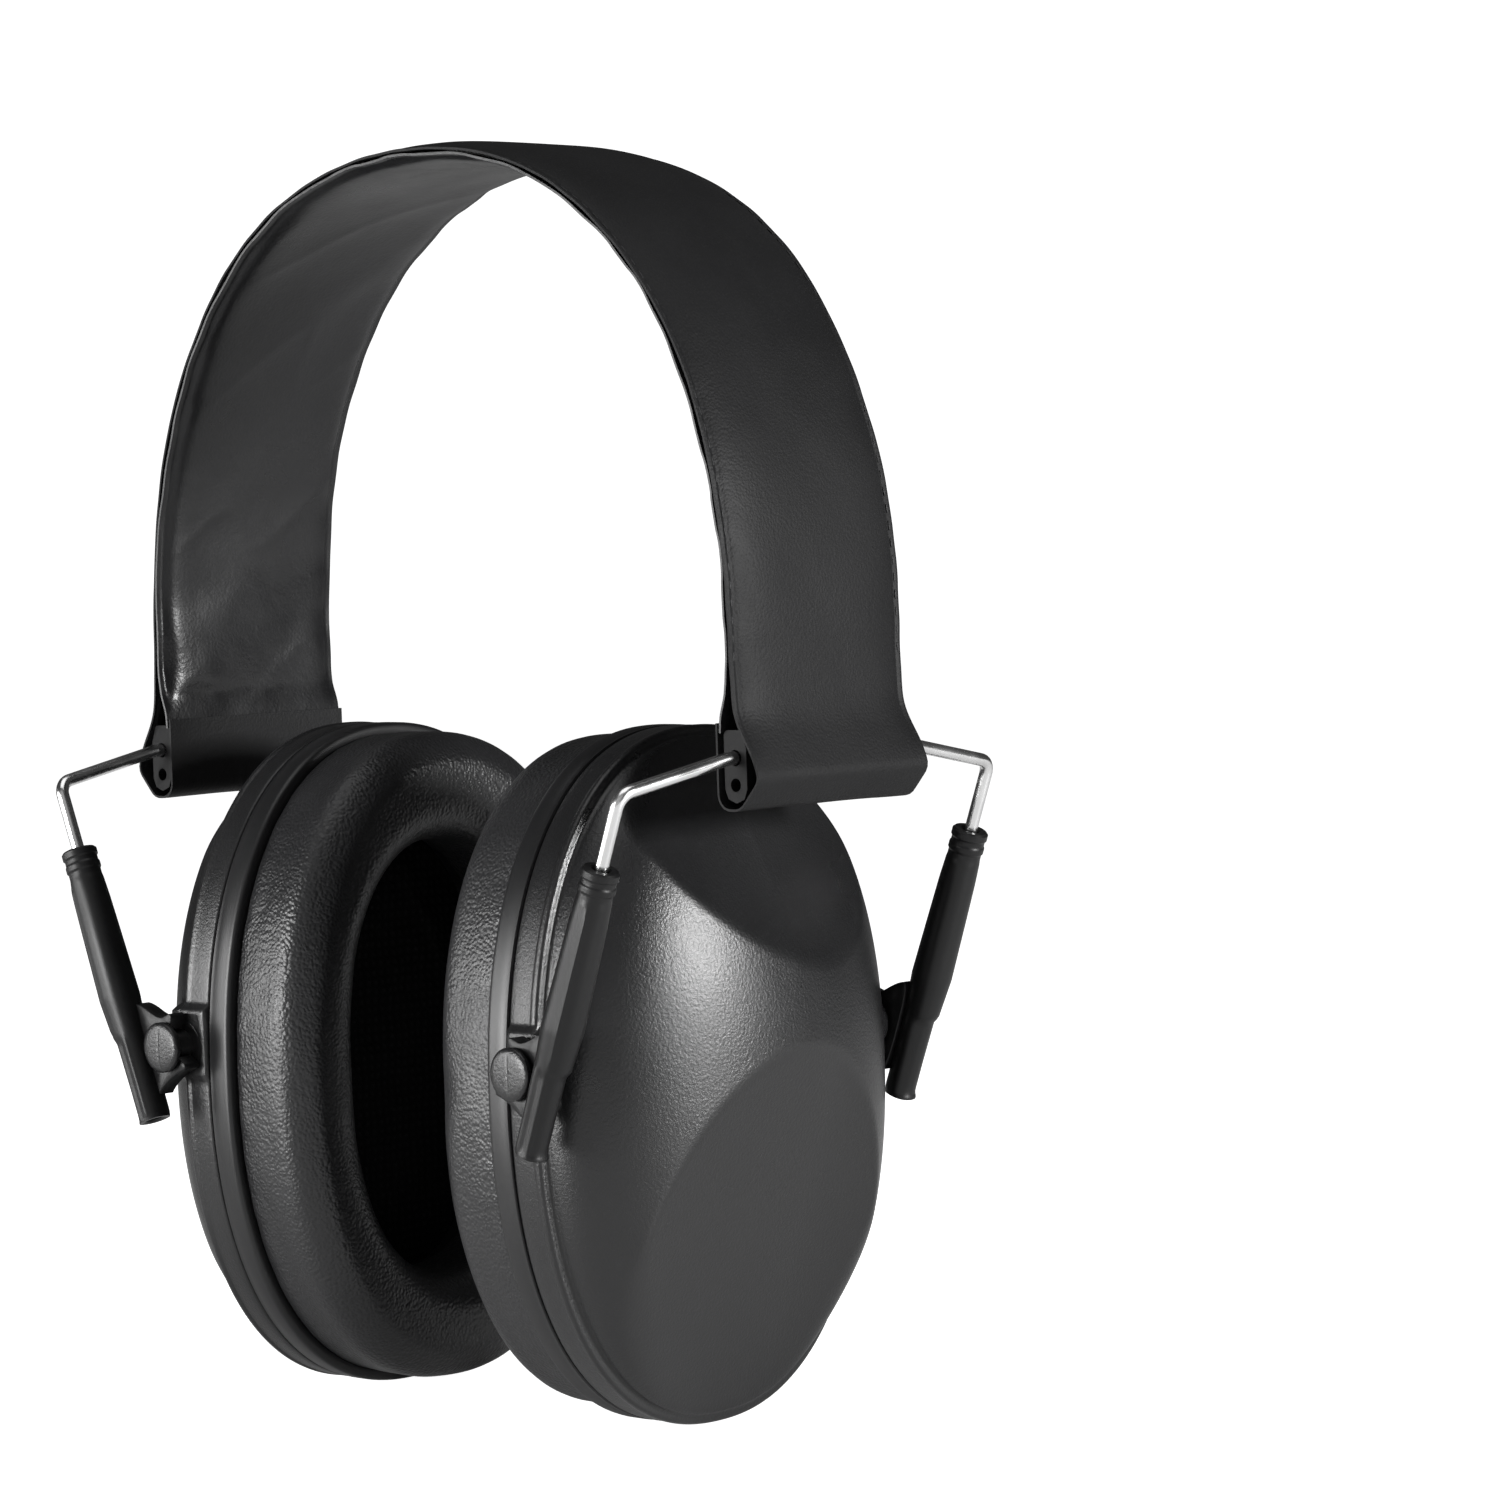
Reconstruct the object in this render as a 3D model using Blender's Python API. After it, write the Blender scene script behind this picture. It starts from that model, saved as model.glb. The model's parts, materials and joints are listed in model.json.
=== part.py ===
"""Folding passive hearing protection earmuffs, modelled as separate pieces at real size.

Frame: metres, +Z up, the wearer faces -Y, the wearer's left is +X. The origin is at the middle of the
underside, level with the lowest point of the cups. The left side is modelled once in the side frame
(+X outboard) and the right side is the same set of meshes turned half a turn about Z.
"""

import math

import bmesh
import bpy
from mathutils import Matrix, Vector

MM = 0.001
GAP = 0.3 * MM  # running and assembly gap between neighbouring pieces

# Ear cups. Distances outboard of the pivot axis are "a", upwards from the cup's centre "z".
CUP_HALF_HEIGHT = 52.5 * MM
CUP_HALF_WIDTH = 36.5 * MM
CUP_DROP = 4.3 * MM  # the cup's centre is this far below the pivot axis
OVAL = 2.25  # exponent of the oval outline, 2 being an ellipse
CUSHION_FACE = -24.8 * MM
CUSHION_BASE = -10.3 * MM
BACKPLATE = (-10.0 * MM, -5.6 * MM)
RIM = (-5.3 * MM, 0.4 * MM)
DOME_TOP = 17.6 * MM
DOME_INSET = 1.6 * MM  # step from the proud rim to the foot of the dome
WALL = 2.2 * MM
LIP_WALL = 1.5 * MM
LIP_HEIGHT = 2.4 * MM
PLATE_OPENING = (36.0 * MM, 22.0 * MM)  # half height and half width
EAR_OPENING = (34.0 * MM, 20.0 * MM)
SKIN = 0.8 * MM
OUTLINE_COUNT = 32  # points round the cup's visible ovals
LINING_COUNT = 24  # points round the ovals inside it
# Each flat of the dome is a plane through (z, a), falling by the slope towards the edge.
UPPER_FLAT = (52.5 * MM, 0.0 * MM, 0.47)
LOWER_FLAT = (-52.5 * MM, 0.0 * MM, 0.32)

# Suspension: hinge axis of the wire, the arms' lean, and the pivot measured from the hinge axis.
HINGE_X = 63.0 * MM
LEAN = math.radians(21.0)
PIVOT_ALONG = 50.3 * MM
PIVOT_INBOARD = 7.0 * MM
ARM_Y = 40.4 * MM
WIRE_RADIUS = 1.0 * MM
BEND_Y = 19.3 * MM
ELBOW_ALONG = 4.2 * MM
WIRE_TIP_ALONG = 50.0 * MM
ARM_MOUTH = 15.4 * MM
ARM_TAIL = 60.0 * MM
ARM_BORE_RADIUS = 1.25 * MM
HOOK_Y = (37.3 * MM, 40.2 * MM)
PAD_RADIUS = 4.5 * MM
PAD_Y = 36.9 * MM
BOSS_RADIUS = 2.4 * MM
BUTTON_RADIUS = 3.9 * MM
BUTTON_Y = (40.5 * MM, 41.9 * MM)

# Headband: outer surface of the sleeve is a superellipse arch on short, slightly flared legs.
BAND_HALF_SPAN = 64.5 * MM
BAND_CROWN = 93.0 * MM  # above the hinge axis
BAND_SPRINGING = 17.0 * MM
BAND_FLARE = 0.7 * MM
BAND_OVAL = 2.2
SLEEVE_HALF_WIDTH = 18.6 * MM
SLEEVE_LAYER = (0.0 * MM, 3.4 * MM)  # depths below the sleeve's outer surface
ROOM_LAYER = (0.5 * MM, 2.9 * MM)
SPRING_LAYER = (0.8 * MM, 1.4 * MM)
PADDING_LAYER = (1.7 * MM, 2.6 * MM)
SEAM_WIDTH = 0.5 * MM
SPRING_HALF_WIDTH = 8.0 * MM
PADDING_HALF_WIDTH = 16.0 * MM
SPRING_FOOT = 4.6 * MM
PADDING_FOOT = 15.2 * MM
TONGUE_TOP = 14.2 * MM
# Corners (x, z) from the hinge axis and corner radii of the sleeve's foot and of the end block in it.
POCKET = ((1.6, 6.2), (5.3, -3.2), (1.4, -7.7), (-3.1, -7.7), (-3.1, 4.4), (-1.0, 6.2))
POCKET_RADII = (0.3, 2.2, 2.6, 2.4, 1.2, 0.3)
POCKET_WALL = 0.6 * MM
BLOCK = ((1.2, 4.0), (2.2, 1.4), (2.2, -6.5), (-2.1, -6.5), (-2.1, 4.0))
BLOCK_RADII = (0.5, 1.0, 2.0, 2.0, 0.8)
BLOCK_HALF_LENGTH = 18.0 * MM
SPARE_BORE = (0.0 * MM, -3.9 * MM, 1.0 * MM)  # x, z and radius
SPARE_DEPTH_Y = 10.0 * MM  # the spare bore is blind and ends here
RIVET_Y = 5.0 * MM
RIVET_Z = 9.0 * MM
RIVET_RADIUS = 1.2 * MM
HOLE_LAYER = (-2.0 * MM, 6.0 * MM)  # reach of the rivet holes' cutters across the band

ALONG = Vector((-math.sin(LEAN), 0.0, -math.cos(LEAN)))  # down the arm
INBOARD = Vector((-math.cos(LEAN), 0.0, math.sin(LEAN)))  # square to the arm, towards the head
PIVOT = ALONG * PIVOT_ALONG + INBOARD * PIVOT_INBOARD  # from the hinge axis
HINGE_Z = CUP_HALF_HEIGHT + CUP_DROP - PIVOT.z


# ---------------------------------------------------------------- scene helpers

def clear_scene():
    for obj in list(bpy.data.objects):
        bpy.data.objects.remove(obj, do_unlink=True)


def new_collection(name):
    collection = bpy.data.collections.new(name)
    bpy.context.scene.collection.children.link(collection)
    return collection


def material(name, colour, roughness, metallic=0.0):
    made = bpy.data.materials.new(name)
    made.use_nodes = True
    shader = made.node_tree.nodes["Principled BSDF"]
    shader.inputs["Base Color"].default_value = (*colour, 1.0)
    shader.inputs["Roughness"].default_value = roughness
    shader.inputs["Metallic"].default_value = metallic
    return made


def object_from(name, bm, parent=None):
    """A part made of this bmesh, in the parts collection, under its parent empty."""
    bmesh.ops.recalc_face_normals(bm, faces=bm.faces)
    if bm.calc_volume(signed=True) < 0:
        bmesh.ops.reverse_faces(bm, faces=bm.faces)
    mesh = bpy.data.meshes.new(name)
    bm.to_mesh(mesh)
    bm.free()
    obj = bpy.data.objects.new(name, mesh)
    PARTS.objects.link(obj)
    obj.parent = parent
    return obj


def cutter_from(name, bm, parent=None):
    obj = object_from(name, bm, parent)
    PARTS.objects.unlink(obj)
    CUTTERS.objects.link(obj)
    obj.hide_render = True
    obj.display_type = "WIRE"
    return obj


def empty(name, location, parent=None):
    obj = bpy.data.objects.new(name, None)
    obj.empty_display_size = 0.01
    obj.location = location
    PARTS.objects.link(obj)
    obj.parent = parent
    return obj


def boolean(obj, other, operation):
    modifier = obj.modifiers.new(f"{operation.lower()} {other.name}", "BOOLEAN")
    modifier.operation = operation
    modifier.object = other
    modifier.solver = "EXACT"
    return modifier


def finish(obj, look, sharp=35.0):
    """Bakes the modifiers into the part's own mesh, smooths its round faces and gives it its material."""
    bpy.context.view_layer.update()
    graph = bpy.context.evaluated_depsgraph_get()
    mesh = bpy.data.meshes.new_from_object(obj.evaluated_get(graph))
    obj.modifiers.clear()
    obj.data = mesh
    mesh.name = obj.name
    mesh.materials.clear()
    mesh.materials.append(look)
    mesh.shade_smooth()
    mesh.set_sharp_from_angle(angle=math.radians(sharp))
    return obj


# ---------------------------------------------------------------- shape helpers

def oval(half_height, half_width, count, a, centre_z=0.0):
    """Points of an oval in the plane at this distance outboard, from the front round over the top."""
    points = []
    for i in range(count):
        angle = 2 * math.pi * i / count
        c = math.cos(angle)
        s = math.sin(angle)
        y = math.copysign(abs(c) ** (2 / OVAL), c) * half_width
        z = math.copysign(abs(s) ** (2 / OVAL), s) * half_height
        points.append(Vector((a, y, z + centre_z)))
    return points


def loft(rings, closed=False):
    """A skin over rings of equal count: capped at both ends, or closed into a loop."""
    bm = bmesh.new()
    made = [[bm.verts.new(point) for point in ring] for ring in rings]
    pairs = list(zip(made, made[1:]))
    if closed:
        pairs.append((made[-1], made[0]))
    else:
        bm.faces.new(made[0])
        bm.faces.new(reversed(made[-1]))
    for first, second in pairs:
        for i in range(len(first)):
            j = (i + 1) % len(first)
            bm.faces.new((first[i], first[j], second[j], second[i]))
    return bm


def cylinder(radius, start, end, segments):
    """A cylinder between two points."""
    start = Vector(start)
    axis = Vector(end) - start
    bm = bmesh.new()
    bmesh.ops.create_cone(
        bm,
        cap_ends=True,
        segments=segments,
        radius1=radius,
        radius2=radius,
        depth=axis.length,
    )
    turn = Vector((0, 0, 1)).rotation_difference(axis).to_matrix().to_4x4()
    bm.transform(Matrix.Translation(start + axis / 2) @ turn)
    return bm


def cut_rectangle(centre, half, cut):
    """Points (u, v) of a rectangle with its corners cut off."""
    points = []
    for su, sv in ((1, 1), (-1, 1), (-1, -1), (1, -1)):
        along_v = (centre[0] + su * half[0], centre[1] + sv * (half[1] - cut))
        along_u = (centre[0] + su * (half[0] - cut), centre[1] + sv * half[1])
        points += [along_v, along_u] if su == sv else [along_u, along_v]
    return points


def fillet(before, corner, after, radius, steps):
    """Points of the arc that rounds one corner of a path."""
    back = (before - corner).normalized()
    ahead = (after - corner).normalized()
    half = back.angle(ahead) / 2
    reach = radius / math.tan(half)
    centre = corner + (back + ahead).normalized() * radius / math.sin(half)
    first = corner + back * reach - centre
    last = corner + ahead * reach - centre
    return [centre + first.slerp(last, i / steps) * radius for i in range(steps + 1)]


def rounded_outline(corners, radii, inset, steps):
    """Points (x, z) of a closed outline in millimetres, moved in by the inset, with round corners."""
    points = [Vector((x, 0, z)) * MM for x, z in corners]
    count = len(points)
    lines = []
    for i in range(count):
        along = (points[(i + 1) % count] - points[i]).normalized()
        inwards = Vector((along.z, 0, -along.x))
        lines.append((points[i] + inwards * inset, along))
    moved = []
    for i in range(count):
        start, along = lines[i]
        before, along_before = lines[i - 1]
        side = Vector((along_before.z, 0, -along_before.x))
        moved.append(start + along * ((before - start).dot(side) / along.dot(side)))
    outline = []
    for i in range(count):
        radius = max(radii[i] * MM - inset, 0.1 * MM)
        outline += fillet(moved[i - 1], moved[i], moved[(i + 1) % count], radius, steps)
    return outline


# ---------------------------------------------------------------- ear cup

def flat_cutter(name, flat, inset, parent):
    """A block whose underside is one flat of the dome, moved in by the inset."""
    z, a, slope = flat
    outwards = 1 if z > 0 else -1
    size = 160 * MM
    bm = bmesh.new()
    bmesh.ops.create_cube(bm, size=size)
    turn = Matrix.Rotation(-outwards * math.atan(slope), 4, "Y")
    normal = turn @ Vector((1, 0, 0))
    point = Vector((a, 0, z - CUP_DROP)) + normal * (size / 2 - inset)
    bm.transform(Matrix.Translation(point) @ turn)
    return cutter_from(name, bm, parent)


def dome_rings(inset, count, angles):
    """Ovals from the foot of the dome to its crown, moved in by the inset."""
    half_height = CUP_HALF_HEIGHT - DOME_INSET - inset
    half_width = CUP_HALF_WIDTH - DOME_INSET - inset
    rise = DOME_TOP - RIM[1] - inset
    rings = []
    for degrees in angles:
        size = math.cos(math.radians(degrees))
        a = RIM[1] + rise * math.sin(math.radians(degrees))
        rings.append(oval(half_height * size, half_width * size, count, a, -CUP_DROP))
    return rings


def pivot_spool(name, side, parent):
    """Pad, pivot boss and button head on one side of the cup, turned about the pivot axis."""
    root_y = CUP_HALF_WIDTH - 3.4 * MM
    chamfer = 0.5 * MM
    profile = (
        (root_y, PAD_RADIUS),
        (PAD_Y, PAD_RADIUS),
        (PAD_Y, BOSS_RADIUS),
        (BUTTON_Y[0], BOSS_RADIUS),
        (BUTTON_Y[0], BUTTON_RADIUS),
        (BUTTON_Y[1] - chamfer, BUTTON_RADIUS),
        (BUTTON_Y[1], BUTTON_RADIUS - chamfer),
    )
    rings = []
    for y, radius in profile:
        turns = [2 * math.pi * i / 18 for i in range(18)]
        rings.append([Vector((radius * math.cos(t), side * y, radius * math.sin(t))) for t in turns])
    return cutter_from(name, loft(rings), parent)


def cup_shell(name, parent, look):
    """One moulding: domed casing, proud rim, and the two pivot bosses with their button heads."""
    edge = 0.6 * MM
    rings = [
        oval(CUP_HALF_HEIGHT, CUP_HALF_WIDTH, OUTLINE_COUNT, RIM[0], -CUP_DROP),
        oval(CUP_HALF_HEIGHT, CUP_HALF_WIDTH, OUTLINE_COUNT, RIM[1] - edge, -CUP_DROP),
        oval(CUP_HALF_HEIGHT - edge, CUP_HALF_WIDTH - edge, OUTLINE_COUNT, RIM[1], -CUP_DROP),
    ]
    rings += dome_rings(0.0, OUTLINE_COUNT, (0, 14, 28, 42, 56, 70, 84))
    shell = object_from(name, loft(rings), parent)
    inner_rings = dome_rings(WALL, OUTLINE_COUNT, (0, 20, 40, 60, 82))
    mouth = [Vector((RIM[0] - MM, point.y, point.z)) for point in inner_rings[0]]
    cavity = cutter_from(f"{name}_cavity", loft([mouth] + inner_rings), parent)
    for flat, label in ((UPPER_FLAT, "upper"), (LOWER_FLAT, "lower")):
        boolean(shell, flat_cutter(f"{name}_{label}_flat", flat, 0.0, parent), "DIFFERENCE")
        boolean(cavity, flat_cutter(f"{name}_{label}_inside", flat, WALL, parent), "DIFFERENCE")
    for side, label in ((-1, "front"), (1, "rear")):
        boolean(shell, pivot_spool(f"{name}_{label}_spool", side, parent), "UNION")
    boolean(shell, cavity, "DIFFERENCE")
    return finish(shell, look, 28.0)


def backplate(name, parent, look):
    """Ring plate between shell and cushion, with a locating lip inside the shell's mouth."""
    low, high = BACKPLATE
    edge = 0.5 * MM
    step = DOME_INSET + WALL + GAP
    height, width = CUP_HALF_HEIGHT, CUP_HALF_WIDTH
    sizes = (
        (*PLATE_OPENING, low),
        (height - edge, width - edge, low),
        (height, width, low + edge),
        (height, width, high),
        (height - step, width - step, high),
        (height - step, width - step, high + LIP_HEIGHT),
        (height - step - LIP_WALL, width - step - LIP_WALL, high + LIP_HEIGHT),
        (height - step - LIP_WALL, width - step - LIP_WALL, high),
        (*PLATE_OPENING, high),
    )
    rings = [oval(tall, wide, OUTLINE_COUNT, a, -CUP_DROP) for tall, wide, a in sizes]
    return finish(object_from(name, loft(rings, closed=True), parent), look)


def cushion_section(inset, steps):
    """Half height, half width and a, from the cushion's outer foot over its face into the ear opening."""
    outer = (CUP_HALF_HEIGHT - 1.5 * MM - inset, CUP_HALF_WIDTH - 1.5 * MM - inset)
    ear = (EAR_OPENING[0] + inset, EAR_OPENING[1] + inset)
    face = CUSHION_FACE + inset
    outer_round = 6.6 * MM - inset
    ear_round = 6.2 * MM - inset
    section = [(*outer, CUSHION_BASE)]
    for i in range(steps + 1):
        turn = math.pi / 2 * i / steps
        back = outer_round * (1 - math.cos(turn))
        depth = face + outer_round * (1 - math.sin(turn))
        section.append((outer[0] - back, outer[1] - back, depth))
    for i in range(steps + 1):
        turn = math.pi / 2 * i / steps
        back = ear_round * (1 - math.sin(turn))
        depth = face + ear_round * (1 - math.cos(turn))
        section.append((ear[0] + back, ear[1] + back, depth))
    section.append((*ear, CUSHION_BASE))
    return section


def cushion_skin(name, parent, look):
    """Leatherette jacket, open at its foot, where it is welded to the backplate."""
    section = cushion_section(0.0, 3) + cushion_section(SKIN, 3)[::-1]
    rings = [oval(height, width, OUTLINE_COUNT, a, -CUP_DROP) for height, width, a in section]
    return finish(object_from(name, loft(rings, closed=True), parent), look)


def cushion_foam(name, parent, look):
    section = cushion_section(SKIN + GAP, 2)
    rings = [oval(height, width, OUTLINE_COUNT, a, -CUP_DROP) for height, width, a in section]
    return finish(object_from(name, loft(rings, closed=True), parent), look)


def lining(name, parent, look, stations):
    """A solid oval sheet or block: stations of half height, half width and a."""
    rings = [oval(height, width, LINING_COUNT, a, -CUP_DROP) for height, width, a in stations]
    return finish(object_from(name, loft(rings), parent), look)


# ---------------------------------------------------------------- suspension

def wire_yoke(name, parent, look):
    """One bent wire: leg, elbow, through the end block, elbow, leg."""
    points = []
    for side in (-1, 1):
        tip = ALONG * WIRE_TIP_ALONG + Vector((0, side * ARM_Y, 0))
        elbow = ALONG * ELBOW_ALONG + Vector((0, side * ARM_Y, 0))
        points += [tip, elbow, Vector((0, side * BEND_Y, 0))][::-side]
    radii = (2.5 * MM, 3.0 * MM, 3.0 * MM, 2.5 * MM)
    path = [points[0]]
    for before, corner, after, radius in zip(points, points[1:], points[2:], radii):
        path += fillet(before, corner, after, radius, 3)
    path.append(points[-1])
    curve = bpy.data.curves.new(f"{name}_path", "CURVE")
    curve.dimensions = "3D"
    curve.bevel_depth = WIRE_RADIUS
    curve.bevel_resolution = 2
    curve.use_fill_caps = True
    spline = curve.splines.new("POLY")
    spline.points.add(len(path) - 1)
    for control, point in zip(spline.points, path):
        control.co = (*point, 1.0)
    guide = bpy.data.objects.new(f"{name}_path", curve)
    CUTTERS.objects.link(guide)
    bpy.context.view_layer.update()
    graph = bpy.context.evaluated_depsgraph_get()
    mesh = bpy.data.meshes.new_from_object(guide.evaluated_get(graph))
    bpy.data.objects.remove(guide)
    bm = bmesh.new()
    bm.from_mesh(mesh)
    bmesh.ops.remove_doubles(bm, verts=bm.verts, dist=1e-6)
    return finish(object_from(name, bm, parent), look)


def arm_sections():
    """Stations down the arm: distance from the mouth, half size across and half size in Y."""
    length = ARM_TAIL - ARM_MOUTH
    return (
        (0.0, 2.8 * MM, 2.8 * MM),
        (0.3 * MM, 3.1 * MM, 3.05 * MM),
        (1.3 * MM, 3.1 * MM, 3.05 * MM),
        (1.5 * MM, 2.65 * MM, 2.65 * MM),
        (2.3 * MM, 2.65 * MM, 2.65 * MM),
        (2.5 * MM, 3.0 * MM, 3.0 * MM),
        (3.4 * MM, 3.0 * MM, 3.0 * MM),
        (3.7 * MM, 2.7 * MM, 2.7 * MM),
        (length * 0.32, 3.0 * MM, 2.9 * MM),
        (length * 0.55, 3.2 * MM, 2.9 * MM),
        (length * 0.68, 2.75 * MM, 2.8 * MM),
        (length * 0.88, 2.6 * MM, 2.7 * MM),
        (length, 2.8 * MM, 2.8 * MM),
    )


def arm_point(along, out, y):
    """A point of an arm: down the arm from its mouth, outboard of its wire, and in Y."""
    return ALONG * along - INBOARD * out + Vector((0, y, 0))


def hook_outline():
    """Outline (down the arm, outboard) about the pivot, of the open clip and its web to the tube."""
    seat = BOSS_RADIUS + GAP
    rim = 4.6 * MM
    lobe = 5.4 * MM
    web = PIVOT_INBOARD
    mouth = math.radians(50)
    points = []
    for i in range(9):
        turn = mouth + (2 * math.pi - 2 * mouth) * i / 8
        points.append((seat * math.sin(turn), -seat * math.cos(turn)))
    for turn in (-1.05 * mouth, -1.35 * mouth, -1.8 * mouth):
        reach = lobe if turn > -1.2 * mouth else rim
        points.append((reach * math.sin(turn), -reach * math.cos(turn)))
    points += [(-8.2 * MM, 3.4 * MM), (-8.8 * MM, web), (6.8 * MM, web), (5.6 * MM, 3.6 * MM)]
    for turn in (1.8 * mouth, 1.35 * mouth, 1.05 * mouth):
        points.append((rim * math.sin(turn), -rim * math.cos(turn)))
    return points


def slide_arm(name, parent, look, side):
    """Moulded arm: bored tube with a ringed mouth, and an open clip that hooks on the cup's boss."""
    rings = []
    for along, across, deep in arm_sections():
        turns = [2 * math.pi * i / 12 for i in range(12)]
        rings.append([arm_point(along, across * math.cos(t), deep * math.sin(t)) for t in turns])
    arm = object_from(name, loft(rings), parent)
    pivot_along = PIVOT_ALONG - ARM_MOUTH
    plates = []
    for y in HOOK_Y:
        offset = side * (y - ARM_Y)
        plates.append([arm_point(pivot_along + v, u - PIVOT_INBOARD, offset) for v, u in hook_outline()])
    boolean(arm, cutter_from(f"{name}_hook", loft(plates), parent), "UNION")
    ends = (arm_point(-2 * MM, 0, 0), arm_point(ARM_TAIL - ARM_MOUTH + 2 * MM, 0, 0))
    bore = cutter_from(f"{name}_bore", cylinder(ARM_BORE_RADIUS, *ends, 10), parent)
    boolean(arm, bore, "DIFFERENCE")
    return finish(arm, look)


# ---------------------------------------------------------------- headband

def leg_x(z):
    """Outer face of the band's leg at this height."""
    return BAND_HALF_SPAN + BAND_FLARE * (1 - z / BAND_SPRINGING) ** 2


def band_stations(foot):
    """Points of the sleeve's outer surface from the left foot over to the right, with inward normals."""
    leg_steps = 3
    arch_steps = 14
    half = []
    for i in range(leg_steps):
        z = foot + (BAND_SPRINGING - foot) * i / leg_steps
        half.append(Vector((leg_x(z), 0, z)))
    for i in range(arch_steps + 1):
        turn = math.pi / 2 * i / arch_steps
        x = max(math.cos(turn), 0.0) ** (2 / BAND_OVAL) * BAND_HALF_SPAN
        z = math.sin(turn) ** (2 / BAND_OVAL) * (BAND_CROWN - BAND_SPRINGING)
        half.append(Vector((x, 0, z + BAND_SPRINGING)))
    points = half + [Vector((-point.x, 0, point.z)) for point in half[-2::-1]]
    stations = []
    for i, point in enumerate(points):
        before = points[max(i - 1, 0)]
        after = points[min(i + 1, len(points) - 1)]
        along = (after - before).normalized()
        stations.append((point, Vector((-along.z, 0, along.x))))
    return stations


def band_strip(layer, half_width, cut, foot):
    """A strip that follows the band between two depths below the sleeve's outer surface."""
    centre = (0, (layer[0] + layer[1]) / 2)
    half = (half_width, (layer[1] - layer[0]) / 2)
    section = cut_rectangle(centre, half, cut)
    rings = []
    for point, inwards in band_stations(foot):
        rings.append([point + inwards * depth + Vector((0, y, 0)) for y, depth in section])
    return loft(rings)


def bar(corners, radii, inset, half_length, sign=1, offset=0.0):
    """A bar along Y with a rounded outline, turned to the right side by a negative sign."""
    outline = rounded_outline(corners, radii, inset, 2)
    rings = []
    for y in (-half_length, half_length):
        rings.append([Vector((sign * (point.x + offset), y, point.z)) for point in outline])
    return loft(rings)


def headband_sleeve(parent, look):
    """Sewn leatherette tube over the band; its feet wrap round the end blocks and open at the sides."""
    name = "headband_sleeve"
    outside = band_strip(SLEEVE_LAYER, SLEEVE_HALF_WIDTH, 0.7 * MM, 3 * MM)
    inside = band_strip(ROOM_LAYER, SLEEVE_HALF_WIDTH - SEAM_WIDTH, 0.5 * MM, 2 * MM)
    sleeve = object_from(name, outside, parent)
    room = cutter_from(f"{name}_room", inside, parent)
    for sign, label in ((1, "left"), (-1, "right")):
        pocket = bar(POCKET, POCKET_RADII, 0.0, SLEEVE_HALF_WIDTH, sign, HINGE_X)
        hollow = bar(POCKET, POCKET_RADII, POCKET_WALL, SLEEVE_HALF_WIDTH + 2 * MM, sign, HINGE_X)
        boolean(sleeve, cutter_from(f"{name}_{label}_pocket", pocket, parent), "UNION")
        boolean(room, cutter_from(f"{name}_{label}_hollow", hollow, parent), "UNION")
    boolean(sleeve, room, "DIFFERENCE")
    return finish(sleeve, look)


def rivet_cylinder(radius, layer, side):
    """A cylinder across the band's leg at one rivet's place, from the hinge axis."""
    x = leg_x(RIVET_Z) - HINGE_X
    ends = [(x - depth, side * RIVET_Y, RIVET_Z) for depth in layer]
    return cylinder(radius, *ends, 12)


def headband_spring(parent, look):
    """Sprung steel strip, riveted to the end blocks' tongues."""
    name = "headband_spring"
    strip = band_strip(SPRING_LAYER, SPRING_HALF_WIDTH, 0.15 * MM, SPRING_FOOT)
    spring = object_from(name, strip, parent)
    for sign, label in ((1, "left"), (-1, "right")):
        for side, end in ((-1, "front"), (1, "rear")):
            bm = rivet_cylinder(RIVET_RADIUS + GAP, HOLE_LAYER, side)
            bm.transform(Matrix.Translation((HINGE_X, 0, 0)))
            hole = cutter_from(f"{name}_{label}_{end}_hole", bm, parent)
            hole.rotation_euler = (0, 0, 0 if sign > 0 else math.pi)
            boolean(spring, hole, "DIFFERENCE")
    return finish(spring, look)


def headband_padding(parent, look):
    name = "headband_padding"
    strip = band_strip(PADDING_LAYER, PADDING_HALF_WIDTH, 0.3 * MM, PADDING_FOOT)
    return finish(object_from(name, strip, parent), look)


def end_block(name, parent, look):
    """Moulded block in the sleeve's foot: bore for the wire, a spare bore, and the spring's tongue."""
    block = object_from(name, bar(BLOCK, BLOCK_RADII, 0.0, BLOCK_HALF_LENGTH), parent)
    tongue_rings = []
    for z in (2.5 * MM, 6 * MM, 10 * MM, TONGUE_TOP):
        near, far = [leg_x(z) - HINGE_X - depth for depth in PADDING_LAYER]
        half = SPRING_HALF_WIDTH + 1.5 * MM
        corners = ((near, half), (near, -half), (far, -half), (far, half))
        tongue_rings.append([Vector((x, y, z)) for x, y in corners])
    boolean(block, cutter_from(f"{name}_tongue", loft(tongue_rings), parent), "UNION")
    reach = BLOCK_HALF_LENGTH + 2 * MM
    wire_bore = cylinder(WIRE_RADIUS + 0.2 * MM, (0, -reach, 0), (0, reach, 0), 12)
    boolean(block, cutter_from(f"{name}_wire_bore", wire_bore, parent), "DIFFERENCE")
    spare_x, spare_z, spare_radius = SPARE_BORE
    for side, label in ((-1, "first"), (1, "second")):
        spare_ends = [(spare_x, side * y, spare_z) for y in (SPARE_DEPTH_Y, reach)]
        spare = cylinder(spare_radius, *spare_ends, 12)
        hole = rivet_cylinder(RIVET_RADIUS + GAP, HOLE_LAYER, side)
        boolean(block, cutter_from(f"{name}_{label}_spare", spare, parent), "DIFFERENCE")
        boolean(block, cutter_from(f"{name}_{label}_hole", hole, parent), "DIFFERENCE")
    return finish(block, look)


def rivet(name, parent, look, side):
    layer = (SPRING_LAYER[0], PADDING_LAYER[1])
    return finish(object_from(name, rivet_cylinder(RIVET_RADIUS, layer, side), parent), look)


# ---------------------------------------------------------------- assembly

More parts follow.
